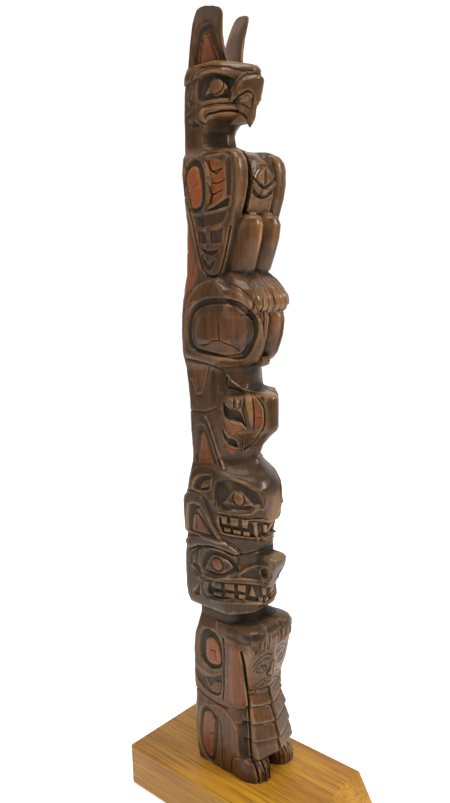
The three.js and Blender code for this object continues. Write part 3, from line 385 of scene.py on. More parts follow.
# Figures, from the top down. Places are (along, up) on the drawing that is laid on.
def carveEagleHead(log):
    log.layOnSide()
    carveEye(log, [(-2.4, 533), (-3.4, 541), (-0.3, 548.4), (5.5, 551), (16, 551), (24, 549.4), (31, 547.4),
        (37, 545.6), (41, 544.4), (37.4, 540.4), (33, 535.4), (30.4, 530), (20, 530.8), (8, 531.2),
        (0, 530.8)],
        [(1.7, 535.6), (5.8, 539.4), (9.6, 544.7), (12.7, 547.3), (17.4, 547.3), (21.6, 545.9), (24.4, 543.3),
        (29.4, 537.8), (25.5, 536.2), (22.8, 534), (16.9, 533), (12.6, 534.3), (9.6, 535.8)],
        (16.3, 540.6, 15, 10.4), 3.2, 3, 0.05)
    log.groove([(-10.3, 537), (-8.6, 546.3), (-1.5, 553.6), (9.1, 554.3), (17.7, 553.2), (26, 551.3),
        (34.1, 549), (45.3, 546), (52, 544.6)], 1.7, 1.3)
    log.groove([(-3.6, 532), (-5, 541), (-2, 549), (5, 552.6), (16, 552.2), (26, 550.4), (38, 546.6),
        (46, 544.6)], 1.2, 0.8)
    log.groove([(29.4, 529.4), (31.8, 534.4), (36.4, 539.6), (42, 542.2), (48.4, 542.6),
        (57, 542)], 1.6, 1.2)
    log.facet([(30, 529), (32.4, 534), (36.4, 538.6), (42, 541.2), (48.4, 541.6), (58, 541.2), (66, 541),
        (66, 520), (54, 520), (50, 527)], 1.2, 1.6)
    log.groove([(33.4, 527.7), (37.6, 530.1), (42.5, 532), (47.3, 532.3), (50.6, 530), (51.8, 525.6),
        (50.4, 521.6)], 2.2, 2.0)
    log.facet([(36.5, 526.9), (41, 529.1), (45.4, 529.9), (47.6, 528), (47, 526),
        (43, 525.6)], 0.6, 0.9, wear=0.6)
    log.groove([(-2.4, 524), (-0.5, 527.4), (3.6, 528.9), (9.8, 529.2), (16.7, 528.8), (25.1, 528),
        (33.4, 527), (39.9, 525.6), (45.5, 523.2), (49.6, 520)], 1.4, 1.3)
    log.groove([(-2.4, 524), (-1.8, 520.6), (1.3, 517.9), (6, 516.3)], 1.3, 1.2)
    log.groove([(5.5, 522), (8.6, 523.2), (13, 523.2), (19, 523.4), (24.9, 523.1), (31.6, 522.3),
        (37.3, 521), (42.1, 518.8), (46, 515.4)], 2.2, 2.6)
    log.patch([(-1.6, 523), (0.4, 526.8), (4.4, 528.2), (6.4, 526), (4.4, 522), (8, 518.4), (5.4, 516.8),
        (1.3, 518.7)], 0.7, 1.2, wear=1)
    log.ridge([(6, 526.4), (15, 526.2), (25, 525.6), (34, 524.4)], 2.8, 0.4)
    log.groove([(-11, 534), (-8.4, 541), (-6, 546)], 1.3, 1.1)
    log.facet([(-11.9, 534.6), (-6.8, 536.3), (-5.4, 531.8), (-10.8, 528.8)], -1.2, 1.0)
    log.facet([(-10.5, 517), (-7.5, 522.4), (-4.6, 519.4), (0.7, 515.5), (-8.8, 515.2)], -2.0, 1.0)
    log.ridge([(-14.7, 524), (-9.1, 526.4), (-3, 529.8)], 2, 0.6)
    log.groove([(-13.4, 511.6), (-11.4, 516.8), (-5.4, 524)], 1.2, 1.0)


def carveWings(log):
    log.layOnSide()
    rim = [(-18, 478), (-16.5, 490), (-11, 497.5), (-3, 500.3), (12, 500.6), (25, 500.3), (31, 498.5),
        (34.8, 494), (36, 485), (35.6, 474), (33, 465), (30, 455), (27, 445), (24, 435), (20, 423),
        (15, 412.5), (8, 409.6), (2, 411.5), (-2.5, 416), (-5.5, 425), (-8, 435), (-10.4, 445),
        (-12.5, 453), (-15, 459), (-17.6, 468)]
    log.groove(rim[12:], 2.4, 2.0)
    log.groove(rim[18:] + rim[:2], 1.6, 1.5)
    log.patch([(-18, 485), (-14.5, 491.5), (-8, 494.6), (-2.5, 493), (1.5, 487.5), (3.4, 480), (3.4, 466),
        (0, 459), (-7, 456), (-12.5, 456), (-15, 461), (-17.4, 474)], -2.3, 1.0)
    log.patch([(-17, 481), (-13, 488), (-8, 489.6), (-4, 486), (-1.4, 479), (-0.4, 468), (-3, 461.6),
        (-8, 459), (-12, 460), (-14.8, 469)], 1.5, 1.0, stain=1)
    for s in ([(-15, 481.5), (-12.4, 476.5), (-10.6, 475)], [(-10.6, 475), (-6, 477)],
              [(-10.6, 475), (-12.4, 468), (-13, 462)]):
        log.groove(s, 1.1, 1.0)
    log.facet([(1, 494.6), (6, 498.2), (24, 498.4), (29.6, 494.6), (29, 492), (22, 495.4),
        (10, 495)], -1.6, 0.9)
    log.facet([(3.4, 492.6), (12, 492.2), (20, 489.6), (22.8, 487), (22.8, 470), (19, 464.6), (10, 461),
        (3.4, 459), (6.4, 463.5), (9, 470), (9, 479), (6.4, 487)], -1.5, 0.8, stain=1)
    for s in ([(6.4, 491), (9.6, 484.2), (19.6, 485.4)], [(9.6, 484.2), (14, 482.4), (19, 484.8)],
              [(10.4, 476), (16, 475.8), (22.6, 477.8)], [(8, 473.4), (9.4, 468.2), (18.6, 470.6)],
              [(9.4, 468.2), (7, 461.6)]):
        log.groove(s, 1.9, 1.7)
    log.facet([(24.2, 489.6), (27, 492.6), (29.4, 489), (29.4, 475), (28, 466.6), (24.2, 465.4)], -1.1, 0.9)
    log.facet([(4.4, 457.8), (12, 459.8), (20, 463.4), (26.4, 466), (27.4, 463), (25.6, 458.8), (12, 456.8),
        (4.4, 456.4)], -2.2, 0.9)
    log.facet([(-11.5, 454.6), (4, 455.4), (25, 457.6), (23.6, 452), (19.8, 447.6), (10, 445.2), (0, 444.6),
        (-8.6, 446.4)], -1.5, 1.6)
    log.facet([(-7.8, 443.8), (0, 442.8), (4.2, 443.2), (4.2, 433), (-5.4, 433.4)], -1.6, 1.2)
    log.facet([(6.4, 443.4), (13, 443.8), (20.4, 446), (18.4, 433.4), (6.4, 432.8)], -1.6, 1.2)
    log.facet([(-1.4, 443.4), (4.2, 444.2), (4.2, 435)], 1.2, 1.0)
    log.facet([(-5.8, 431.4), (1, 429.6), (8, 428.8), (15.6, 430.2), (13.6, 426.4), (8, 424.4),
        (0, 425.8)], -2.1, 1.2)
    log.facet([(-4.6, 426), (0, 422.6), (4.4, 419), (8, 421.5), (12.6, 423.4), (10, 417), (5, 413.2),
        (0, 414.6), (-2.4, 418.5)], -1.8, 1.2)
    log.patch([(-27, 456), (-18.6, 456), (-15, 446), (-12.4, 434), (-9.6, 422), (-7, 412), (-12, 404),
        (-19, 398), (-27, 395)], -0.5, 1.4, stain=0.5)
    # rubbed amber wing rims, partly a painted highlight
    log.facet([(30, 497), (36, 497), (42, 486), (42, 474), (38, 460), (31, 452),
        (31.6, 474)], paintOnly, 2.5, wear=0.35)
    log.groove([(-14.6, 446), (-12.8, 432), (-11.6, 420), (-14, 410)], 1.2, 1.2)
    log.groove([(-18, 428), (-15.6, 416), (-15, 402)], 1.2, 1.0)


# Layered feathers between the wings, and the gap on each side of them
def carveChest(log):
    aside, height = log.aside, log.height
    on = (log.forward > 8) & (height > 452.5) & (height < 499)
    gap = (easeBetween(12.6, 14, aside) * easeBetween(18.4, 16.8, aside)
           * easeBetween(452.5, 455, height) * easeBetween(499, 495, height))
    log.cut -= np.where(on, 5 * gap, 0)   # 5 mm deep
    # the gap is painted in shade as well as cut
    log.hollow = np.where(on, np.maximum(log.hollow, gap), log.hollow)
    body = on & (aside < 13.5)
    lift = (-2.2 * easeBetween(455.5, 453, height)
            - 6.0 * easeBetween(486, 498, height + 0.07 * aside * aside))   # falls back under the beak
    log.cut += np.where(body, lift * easeBetween(13.4, 12.2, aside), 0)
    log.wornAndHighlit += np.where(body & (height < 464), 0.6, 0)
    log.layOnFront()
    log.shown &= aside < 14
    log.patch([(-6, 498), (6, 496), (11.4, 492), (15, 486), (15, 476), (11.6, 479), (9.4, 483.4), (5, 487),
        (-5, 489)], 1.5, 1.6)
    log.facet([(0.3, 487), (4.6, 485), (8.4, 481.6), (10.4, 477.8), (6, 475),
        (0.3, 472.8)], 1.7, 2.2, wear=0.5)
    log.groove([(-2, 472), (0, 472), (5, 474), (10, 477), (14, 480)], 1.8, 1.7)
    log.facet([(-2, 471.4), (0, 471.4), (5, 473), (14, 478.6), (14, 474), (5, 468.8), (0, 467.2),
        (-2, 467.2)], 1.0, 1.2)
    log.facet([(-2, 466.8), (0, 466.8), (5, 468.4), (12.4, 473), (11.8, 468), (7, 465), (0, 464),
        (-2, 464)], -2.4, 1.0)
    log.facet([(-1, 471), (0, 471), (3.6, 470.8), (2.6, 467), (0, 464.8), (-1, 464.8)], 1.8, 0.9)


def carveTalons(log):
    log.layOnFront()
    toes = [(2.2, 1.6, 0), (5.4, 6.6, 7), (9.4, 11.6, 13.6), (13, 16.6, 20.2)]
    for k, (ankle, middle, tip) in enumerate(toes):
        line = [(ankle, 411 - 0.4 * k), (middle, 402), (tip, 386 + k), (tip, 382 + k)]
        log.groove(line if k != 1 else line[1:], 1.4, 1.1)
        log.facet([(tip - 1.5, 381 + k), (tip, 391 + k), (tip + 1.5, 381 + k)], -1.7, 0.9)
    log.facet([(0, 410), (13, 408), (22, 394), (22, 384), (0, 382)], 0.3, 3, wear=0.55)
    log.facet([(0, 384), (9, 386), (9.6, 370), (5, 358), (0, 360)], 0.2, 3, wear=0.9)
    log.slit([(0, 452), (0, 411)], 1.6, 1.4)
    log.facet([(-1, 450), (20, 450), (18, 412), (-1, 412)], paintOnly, 3, wear=0.25)
    # a painted highlight down the front of each leg
    log.facet([(5, 449), (12.6, 449), (12, 436), (10.4, 424), (7.6, 418),
        (5.4, 430)], paintOnly, 2.4, wear=1)
    log.slit([(0, 383), (0, 346)], 1.8, 1.8)
    log.groove([(10.5, 384), (11.4, 372), (8, 352)], 1.6, 1.2)


def carveHaunch(log):
    log.layOnSide()
    log.patch([(-24, 352), (-23, 372), (-20.5, 386), (-15, 397), (-6, 404.4), (6, 408), (17, 406),
        (24, 402.6), (34, 399), (42, 394), (48, 388), (51.4, 383), (57, 375), (57, 362), (52, 353),
        (43, 346.6), (30, 343.6), (14, 342), (0, 344.4), (-14, 346.6)], 1.3, 2.2)
    log.patch([(-18.4, 374), (-16, 383.5), (-10, 389.6), (0, 393.4), (10, 394.8), (22, 394.4), (32, 392.8),
        (40.5, 389.3), (47.6, 384.6), (51.6, 379.2), (52.2, 372), (49, 364), (41, 353), (30, 349.4),
        (10, 350.4), (-10, 352.6), (-16, 356), (-18.8, 363)], -2.9, 1.3)
    log.patch([(-16.4, 374), (-13.6, 381.4), (-7.8, 386.6), (0, 389.6), (10, 391), (22, 390.8), (32, 388.6),
        (40.4, 384.6), (46.4, 379.4), (48.8, 372.2), (46.4, 365), (39.4, 357.4), (32, 353), (20, 351.4),
        (8, 352.2), (-8, 354.2), (-13.6, 357.4), (-16.6, 363.6)], 1.9, 2.2)
    log.patch([(-14, 374), (-6, 384), (10, 389), (32, 386), (44, 378), (46.6, 371), (37, 358), (20, 353.4),
        (-6, 356), (-14.4, 363)], 1.8, 9)
    log.slit([(13.6, 376.4), (13.6, 363)], 1.3, 1.1)
    log.groove([(-5, 359), (2, 359.8), (6, 362.4), (13, 363.2), (20, 361.2), (27, 359.2),
        (33, 356)], 1.3, 1.1)
    log.groove([(-23, 347), (-10, 345.8), (0, 344.2), (10, 342.4), (16, 340.6)], 1.3, 1.1)
    log.groove([(24.5, 405), (36, 400.4), (45, 394), (52, 386)], 1.6, 1.0)


def carveTail(log):
    log.layOnSide()
    log.facet([(-19, 343.6), (0, 342.4), (-2.4, 335), (-5.4, 327.6), (-8.6, 324.2), (-11.4, 323.8),
        (-14.4, 326.6), (-17, 334)], -1.0, 1.0, stain=0.6)
    log.groove([(-18.4, 330), (-16, 323), (-12.6, 319.4), (-8.6, 319.4), (-5.4, 323), (-1.4, 334),
        (1, 342)], 1.5, 1.2)
    log.slit([(-12, 339), (-11.4, 327)], 1.2, 1.0)
    log.patch([(3, 340), (8, 340), (9.6, 326), (7.6, 314), (4.6, 312), (2, 318), (1.6, 330)], -1.2, 2.6)
    log.ridge([(19.4, 338), (24.6, 333.2), (31, 330.2), (37, 328.4), (47, 327.6), (60, 328.4)], 2.2, 0.8)
    log.groove([(19.6, 336.6), (18.6, 331), (19.9, 328.2), (24.6, 327.9), (30.3, 327.2), (35.1, 325),
        (35.9, 319.5), (34.4, 312), (36.3, 307), (37.6, 301)], 1.7, 1.5)
    # these two rubbed patches are partly painted highlights
    log.patch([(18.6, 325.4), (24.6, 325), (25.3, 318), (25, 314), (22.5, 313.4),
        (18.7, 317.6)], 1.0, 1.4, wear=0.45)
    log.facet([(26.8, 322), (30.4, 318), (31, 313.3), (26.8, 313.8)], 0.9, 1.2, wear=0.45)
    log.facet([(26.8, 325.2), (33.5, 324.4), (34.6, 319.4), (32.3, 314.7), (30, 319.5)], -1.0, 1.0)
    log.slit([(25.9, 320), (25.9, 313.6)], 1.2, 1.1)
    log.patch([(15.4, 318.6), (17, 314.9), (20.8, 312.8), (25.8, 312.5), (31.4, 311.3), (35.3, 306.4),
        (36.8, 299.8), (32.8, 302.5), (25.4, 302.8), (18.8, 303.7), (15.6, 306.5),
        (14.3, 312.1)], -2.6, 1.1)
    log.ridge([(15, 308), (17.6, 303.6), (25.4, 301.6), (33, 301.2), (37, 298.6)], 1.6, 0.6)
    # rubbed, partly a painted highlight
    log.patch([(37, 326.4), (42.6, 326.8), (44.8, 317.4), (45.4, 310.7), (44.4, 300.6), (40, 303.8),
        (38.6, 309.9), (36.8, 314.6), (36.7, 320.8)], 1.0, 1.6, wear=0.45)
    log.groove([(44.2, 326.6), (45.7, 317.5), (46.3, 308.3), (45.3, 299)], 1.5, 1.3)
    log.patch([(46.6, 323), (50.7, 319.5), (54, 315), (54.4, 309.3), (53.8, 304.3), (49, 299.9),
        (47.2, 305.3), (46.8, 314.4)], -0.9, 1.0, stain=0.8)
    log.slit([(48.8, 308.6), (54.4, 309)], 1.1, 0.9)
    log.groove([(46.9, 325.6), (52.2, 321.6), (56, 317.4), (57, 312), (56.2, 303.4), (51.6, 296.6),
        (45.2, 289.5), (35.4, 283)], 2.2, 1.9)
    log.facet([(48.7, 325.6), (56.5, 325.4), (58.2, 323.1), (56.8, 319.6), (53.9, 321),
        (50.4, 323.6)], -1.6, 0.9)
    log.patch([(13.4, 299.6), (14.7, 294.1), (18.3, 290.3), (23.3, 289.5), (27.4, 288.2), (28.9, 283.3),
        (23.1, 283.5), (18.1, 284.7), (14.9, 288.4), (13, 294)], -2.4, 1.0)
    log.ridge([(14, 290), (17.6, 284.4), (23, 282.6), (28.6, 282.6)], 1.5, 0.5)
    log.groove([(26.8, 294), (31, 292.4), (33.4, 290.4), (33.6, 286.6), (32.1, 281.2)], 1.4, 1.2)
    log.groove([(24.6, 292.4), (28, 291), (31.3, 288.6), (31, 284)], 1.1, 0.9)
    log.patch([(15.9, 303.5), (21.3, 301.2), (31.1, 300.8), (34.6, 298.4), (27.6, 294.3), (23.4, 292.5),
        (18.7, 294.4), (14.9, 300.2)], -0.5, 0.9, stain=0.9)
    log.facet([(14.2, 286.4), (20.6, 282.6), (27.6, 281.8), (23.7, 276),
        (16.2, 279.4)], -0.5, 0.9, stain=0.9)
    log.groove([(-21, 306.4), (-10, 306.2), (0, 308), (7, 311)], 1.2, 1.1)
    log.ridge([(-4, 303.6), (-1, 301), (4.4, 289), (9.6, 276), (13.6, 265)], 2.6, 1.5)
    log.groove([(-6.6, 303), (-3.6, 299), (1.6, 287), (6.6, 274), (10, 266)], 1.6, 1.2)
    log.facet([(-15, 295), (-10, 297), (-5, 295.4), (-2, 290), (4, 275.6), (7, 266), (-18, 264),
        (-16, 280)], -1.5, 1.1)
    log.facet([(-10.8, 289), (-7, 292), (-4, 287), (0, 275), (3.6, 266), (-15.8, 264),
        (-13, 277)], 1.0, 1.2, stain=0.6)
    log.slit([(-7, 286), (-7, 270)], 1.3, 1.1)


def carveUpperHead(log):
    log.layOnSide()
    log.facet([(-22, 256.6), (-16, 262.4), (-6, 265.6), (4, 264.8), (12, 262.4), (22, 260.6), (35, 259.6),
        (45, 257.4), (54, 255), (58, 246), (54, 238), (48, 239), (42, 235), (30, 232), (8, 228), (0, 232),
        (-8, 238), (-18, 241), (-26, 241)], 0.9, 1.6)
    log.patch([(-19, 243), (-17.6, 250), (-12, 254.6), (-5, 256.6), (1.4, 257), (-0.6, 252), (-1.4, 245.6),
        (-6, 243.4), (-12, 242.4)], -2.3, 1.1)
    log.patch([(-13.4, 244), (-10, 250.4), (-5, 253), (-1, 253.4), (-2.4, 247.4), (-7, 244.6)], 1.3, 1.6)
    carveEye(log, [(2, 245), (4, 253), (10, 257.2), (20, 258.2), (35, 256.4), (47, 253), (52.6, 248),
        (52, 241.6), (46, 239.4), (40, 234.6), (30, 232.4), (20, 230.8), (8, 230.6), (3, 237)],
        [(9.6, 235.8), (14, 240.4), (20, 247), (28, 249.8), (35, 247.4), (45.6, 240.4), (38, 238.4),
        (28, 236.4), (18, 236)],
        (28, 243.2, 12.4, 10.8), 2.8, 3.4)
    log.groove([(4, 233), (4, 246), (7, 253)], 1.2, 0.8)
    log.ridge([(7, 228.6), (20, 229.6), (34, 232), (41, 234.2), (47, 238.6), (52.4, 239.6)], 2.4, 0.8)
    log.groove([(7, 226.6), (20, 227), (35, 228.4), (50, 232.4), (58, 233)], 1.4, 1.2)
    log.facet([(7, 226), (30, 227), (48, 230), (60, 231), (70, 232), (70, 221), (60, 219.4), (40, 214.4),
        (20, 212.4), (10, 211.8), (6.4, 218)], -2.9, 1.0)
    carveTeeth(log, [(8, 16.2), (17.8, 28), (29.8, 38.4), (53.6, 59), (60.4, 66)],
               (226.4, 227), (218.2, 218.6), 0.05, 1.2, 0.6, 2.6, 1.3, 0.5)
    carveTeeth(log, [(11, 19), (20.6, 30), (31.6, 40), (51, 57), (58.4, 64.6)],
               (216.6, 217.2), (212, 212.6), 0.06)
    log.facet([(42, 228.6), (47.6, 229.6), (48.8, 216), (46.6, 213.4), (43.2, 219)], 2.8, 1.3, wear=0.5)
    log.groove([(6, 210.4), (20, 210.6), (45, 214.4), (62, 220)], 1.5, 1.1)
    log.groove([(8, 206.8), (22, 204.4), (30, 200.6)], 1.4, 1.0)
    log.facet([(53, 255), (62, 256), (74, 252), (74, 229), (52, 229), (53, 240)], paintOnly, 5, wear=0.45)
    log.groove([(54.4, 250), (54.2, 238), (53.4, 232)], 1.0, 0.5)


def carveBearHead(log):
    log.layOnSide()
    log.facet([(-33, 205), (-31.4, 228), (-29.8, 236), (-25.6, 240.4), (-15, 241), (-9.6, 239.4),
        (-5.4, 234), (1, 221), (10, 207), (16, 203.4), (5, 202), (-14, 204)], 1.7, 1.5)
    log.facet([(-25.6, 206), (-25, 222), (-23.6, 229.6), (-18, 231.4), (-11.6, 230.4), (-7, 225), (0, 214),
        (5.6, 206.4)], -2.3, 1.2)
    log.facet([(-22.2, 206.6), (-21, 217), (-18.4, 222.6), (-15, 222.6), (-9.6, 216.6),
        (0, 207)], 1.5, 1.0, stain=0.6)
    log.slit([(-16.4, 220.6), (-16.4, 211)], 1.2, 1.0)
    log.facet([(-18.6, 226), (-13, 228.6), (-8, 222.6), (0, 211.4), (2.4, 208), (-4, 213),
        (-12, 220.6)], 0.9, 1.0, wear=0.5)
    log.facet([(-32.6, 197), (-26, 201.6), (-16, 204.6), (-5, 206.6), (5, 206), (15, 204.2), (24, 201.4),
        (28.6, 199.4), (24, 196.6), (10, 198.2), (0, 198.6), (-15, 196), (-26, 190.6)], 1.4, 1.3)
    log.slit([(-26, 190.4), (-15, 195.6), (0, 198.2), (10, 197.8), (24, 195.8), (29, 198.6)], 1.8, 1.5)
    log.groove([(-25.4, 178), (-23.6, 187), (-18, 192), (-13, 195)], 2.0, 1.8)
    log.groove([(-17.6, 194), (-18.2, 186), (-19.4, 180.4)], 1.5, 1.3)
    log.facet([(-25, 179), (-19.4, 181), (-15, 177.4), (-14, 172), (-18, 168), (-22, 172)], -1.5, 1.2)
    log.ridge([(-25, 177.6), (-18.4, 170.4), (-13, 165)], 1.8, 0.9)
    carveEye(log, [(-14.6, 180), (-12.6, 189), (-7, 194.6), (4, 196.6), (16, 195), (24.4, 190.4),
        (27.6, 183.6), (20, 178), (12, 174.4), (0, 173.2), (-10, 174.4)],
        [(-11.6, 176.4), (-9, 184), (-3, 191.4), (4, 192.4), (12, 191), (21.6, 186.4), (15, 180),
        (8, 176.4), (0, 175.4)],
        (3, 184, 12.6, 11.4), 2.7, 3.2)
    log.groove([(28.6, 199), (35, 200.6), (45, 205), (60, 210.4)], 1.8, 1.2)
    log.groove([(28, 198), (25.6, 192), (25, 186)], 1.2, 0.9)
    log.ridge([(26, 180.6), (32, 186.4), (40, 191.4), (48, 194.6), (56, 195.4)], 2.4, 1.0)
    log.patch([(25, 181), (32, 184.6), (40, 189.4), (46, 190.4), (50, 187), (50, 182), (38, 180),
        (28, 178.6)], -1.5, 1.6)
    log.patch(oval(54.6, 189.4, 9.4, 8.8), -5.0, 2.2)
    log.ring(oval(54.6, 189.4, 13.4, 12.6), 1.8, -0.9)
    log.ridge([(-12, 171), (0, 171.4), (15, 175.2), (30, 179), (50, 183)], 2.2, 0.7)
    log.groove([(-9, 167.6), (2, 168.8), (20, 172.4), (38, 176.4), (54, 179)], 1.4, 1.2)
    log.patch([(-8.6, 161), (-6, 166.6), (2, 169.4), (20, 172.6), (38, 176.6), (54, 179), (70, 181),
        (70, 170), (54, 166), (36, 162), (20, 158.4), (6, 155.4), (-5, 155.6)], -3.0, 1.1)
    carveTeeth(log, [(-5, 7.8), (9.4, 21.8), (23.6, 34.2), (50.6, 57), (58.6, 65)],
               (169.2, 171.2), (163.2, 163.6), 0.17, 0.9, 0.4, 2.6, 1.3, 0.5)
    carveTeeth(log, [(-3, 7.4), (9.6, 20.8), (24.6, 33.4), (47, 53), (54.6, 61)],
               (160.6, 162.4), (156.2, 156.8), 0.17)
    log.facet([(35.6, 166), (40.4, 178), (45.8, 167)], 3.0, 1.4, wear=0.6)
    log.groove([(-8, 154.4), (10, 156.4), (30, 160.6), (50, 165.6), (62, 168)], 1.2, 1.0)
    log.ridge([(-6, 152.4), (10, 154), (30, 158.6), (50, 164.2), (60, 166)], 2.4, 0.8)
    log.groove([(-10, 170.6), (-14, 163), (-12, 156), (-6, 152)], 1.5, 1.1)
    log.facet([(-24.4, 153), (-20, 159), (-16.4, 164), (-16, 158), (-17, 152.4), (-21, 151)], -1.6, 1.0)


def carveBearBody(log):
    log.layOnSide()
    log.patch([(-20.6, 106), (-18.6, 118), (-13.6, 124.4), (-8, 125.4), (0, 123.4), (4.6, 117), (6, 106),
        (5.6, 97), (0, 92.4), (-8, 90), (-15.4, 93), (-19.6, 99)], -2.4, 1.1)
    log.patch([(-14.6, 106), (-13, 114.6), (-8, 118.4), (-2, 116.6), (3, 110.6), (4.4, 103), (3, 96.6),
        (-4, 94), (-10, 94.4), (-14, 99)], 1.6, 1.4, stain=0.6)
    log.slit([(-8.4, 106.4), (-2.4, 107.2)], 1.2, 1.0)
    log.slit([(-2.4, 107.2), (-1.8, 99)], 1.2, 1.0)
    log.ridge([(-24.4, 90), (-18, 86.4), (-10, 85), (0, 87.4), (5.4, 92)], 2.6, 0.6)
    log.patch([(-25.6, 85), (-16, 81.4), (-5, 83.6), (4.6, 88.6), (4.6, 76), (1, 68.6), (-8, 66.6),
        (-16, 68.4), (-22.6, 73), (-25.6, 78)], -2.0, 1.1)
    log.facet([(-11.6, 72), (-3, 80.6), (3.6, 81.4), (3.6, 72), (-1, 68.6), (-8, 68.4)], 1.0, 1.1)
    log.ridge([(-21, 82.4), (-15, 78), (-11, 71)], 1.6, 0.8)
    log.groove([(7.4, 122), (8, 108), (7, 92), (6.6, 78), (5, 67)], 1.6, 1.4)
    log.groove([(-27, 66.6), (-12, 61.8), (0, 60.6), (10, 60.6)], 1.8, 1.2)
    log.groove([(26.6, 116), (29.4, 107), (31.6, 90), (33.4, 76), (34, 60), (34.6, 40),
        (35.4, 27)], 3.2, 3.4)
    log.patch([(-24.6, 22), (-23, 38), (-20.4, 48), (-15, 53.4), (-8, 52.4), (-3, 48.6), (-0.6, 43),
        (-2, 30), (-4.6, 12), (-8, 3), (-14, 3), (-21, 10)], -2.1, 1.1)
    log.patch([(-22, 21), (-20.8, 38), (-18.4, 46.6), (-14.4, 50.2), (-9, 49.4), (-5.4, 46), (-3.6, 42),
        (-4.8, 30), (-7.2, 13), (-10, 6.4), (-14.6, 6.4), (-19.4, 12)], 1.7, 2.2, stain=0.3)
    log.slit([(-5.4, 41), (-7, 30), (-11.6, 29.4)], 1.3, 1.2)
    log.slit([(-7, 29), (-9.4, 12)], 1.3, 1.1)
    log.groove([(-2, 49), (1.4, 42), (2.2, 30), (2, 16), (3, 4)], 1.5, 1.3)
    log.patch([(12, 54.6), (18, 52), (23, 54), (27, 59), (34, 60), (34, 24), (26, 21), (20, 24), (18.6, 40),
        (17, 49)], -1.8, 4.5)
    log.ridge([(-12, 56), (0, 58.6), (8, 57), (15, 51.6), (18, 46)], 2.4, 0.6)
    log.groove([(12, 4), (13.6, 16), (20, 21), (30, 22), (38, 22.6)], 1.4, 1.0)
    log.facet([(9, 122), (26, 122), (29, 107), (31, 90), (33, 70), (9, 65)], paintOnly, 3, stain=0.3)


def carveBearFeet(log):
    log.layOnFront(8)
    for k in range(4):
        x = 6.2 + 5.4 * k
        log.slit([(x, 20 - k), (x + 0.6, 10), (x + 0.8, 0)], 1.9, 2.6)
    for k in range(4):
        x = 3.8 + 5.4 * k
        log.facet([(x - 1.7, 0), (x - 1.8, 6), (x + 0.2, 14.6 - 0.8 * k), (x + 2, 6),
            (x + 2.1, 0)], -1.5, 0.7)
        log.facet([(x + 0.2, 18 - k), (x + 2.2, 15 - k), (x + 2.9, 6), (x + 2.5, 4), (x + 2.2, 6),
            (x + 0.9, 13 - k)], 0.6, 0.5, wear=0.9)
    log.slit([(0, 24), (0, 0)], 4, 5)
    for k in range(4):
        x = 5.6 + 4.2 * k
        log.ridge([(x, 124), (x + 0.1, 117), (x + 0.2, 112.6)], 2.0, 1.0)
        log.slit([(x + 2.1, 124), (x + 2.2, 113)], 1.4, 1.2)


# How much darker the wood is painted, by height: most on the two lower heads, least on the eagle's head
heightDarkening = [(0, 0.45), (60, 0.3), (125, 0.5), (140, 0.92), (255, 0.92), (268, 0.7), (335, 0.7), (348, 0.45),
         (445, 0.4), (458, 0.6), (496, 0.55), (506, 0.1)]


# The darkening by height, and the painted shade between the bear's paws and its chin
def darkenByHeight(log):
    darkening = np.interp(log.height, *zip(*heightDarkening))
    hands = easeBetween(122, 126, log.height) * easeBetween(140, 136, log.height) * (log.forward > 8)
    log.hollow = np.maximum(log.hollow, np.maximum(darkening, hands))


slats = {
    "ends": [(18, 33), (33, 47.5), (47.5, 62), (62, 72)],   # each slat's foot and top
    "half": 23,          # how far aside they reach
    "lean": 2.0,         # how much further out a slat's foot stands than its top
    "inset": 0.8,        # how deep its top is set
    "lineWidth": 1.6,    # the dark line under each foot, cut in and painted as shade
    "lineDepth": 0.9,
}


# The bear's shield: slats that overlap like shingles, and a face above them
def carveCopper(log):
    log.layOnFront(20)
    log.shown &= log.height > slats["ends"][0][0]
    slant = log.height - np.interp(log.aside, [1, 11, 24], [-1.4, 0, 3.6])
    near = log.shown & (log.aside < slats["half"])
    for foot, top in slats["ends"]:
        share = (slant - foot) / (top - foot)
        on = near & (share > 0) & (share < 1)
        log.cut += np.where(on, slats["lean"] * (1 - np.clip(share, 0, 1)) - slats["inset"], 0)
        # a cut line under each slat's foot, painted in shade
        darkAndShade = np.where(near, np.clip(1 - np.abs(slant - foot + 0.9) / slats["lineWidth"], 0, 1), 0)
        log.cut -= slats["lineDepth"] * darkAndShade
        log.hollow = np.maximum(log.hollow, darkAndShade)
    log.slit([(0, 74), (0, 20)], 3.4, 3.4)
    log.slit([(0, 74), (10, 75.4), (21, 79)], 1.6, 1.1)
    for s in ([(3, 106), (9, 109), (16, 107.4), (22, 102)], [(3.6, 102.6), (10, 105), (16, 103), (21, 97)]):
        log.groove(s, 1.2, 0.9)
    log.ring(oval(12.6, 96, 10.4, 6.6, 14), 1.2, 1.0)
    log.ring(oval(12.6, 96, 5, 4.4), 1.0, 0.8)
    log.facet([(0, 101), (2.6, 100), (3.2, 93), (6, 89.6), (4, 87.6), (0, 87)], 1.0, 1.0, wear=0.8)
    log.groove([(3, 99), (3.4, 93), (6.6, 90), (5, 87.4)], 1.1, 0.9)
    log.groove([(0, 85.4), (6, 86.2), (13, 83.6), (18.6, 77.6)], 1.2, 1.0)
    log.groove([(0, 79.4), (6, 79.8), (12, 77.4), (17.4, 73)], 1.2, 1.0)
    log.groove([(18.6, 77.6), (20.4, 73.4), (17.4, 73)], 1.2, 1.0)
    for k in range(6):
        x = 1.4 + 2.7 * k
        log.slit([(x, 84.8 - 0.1*x*x*0.25), (x + 0.3, 80.4 - 0.1*x*x*0.2)], 0.9, 0.7)


figures = [carveEagleHead, carveWings, carveChest, carveTalons, carveHaunch, carveTail, carveUpperHead,
           carveBearHead, carveBearBody, carveCopper, carveBearFeet, darkenByHeight]


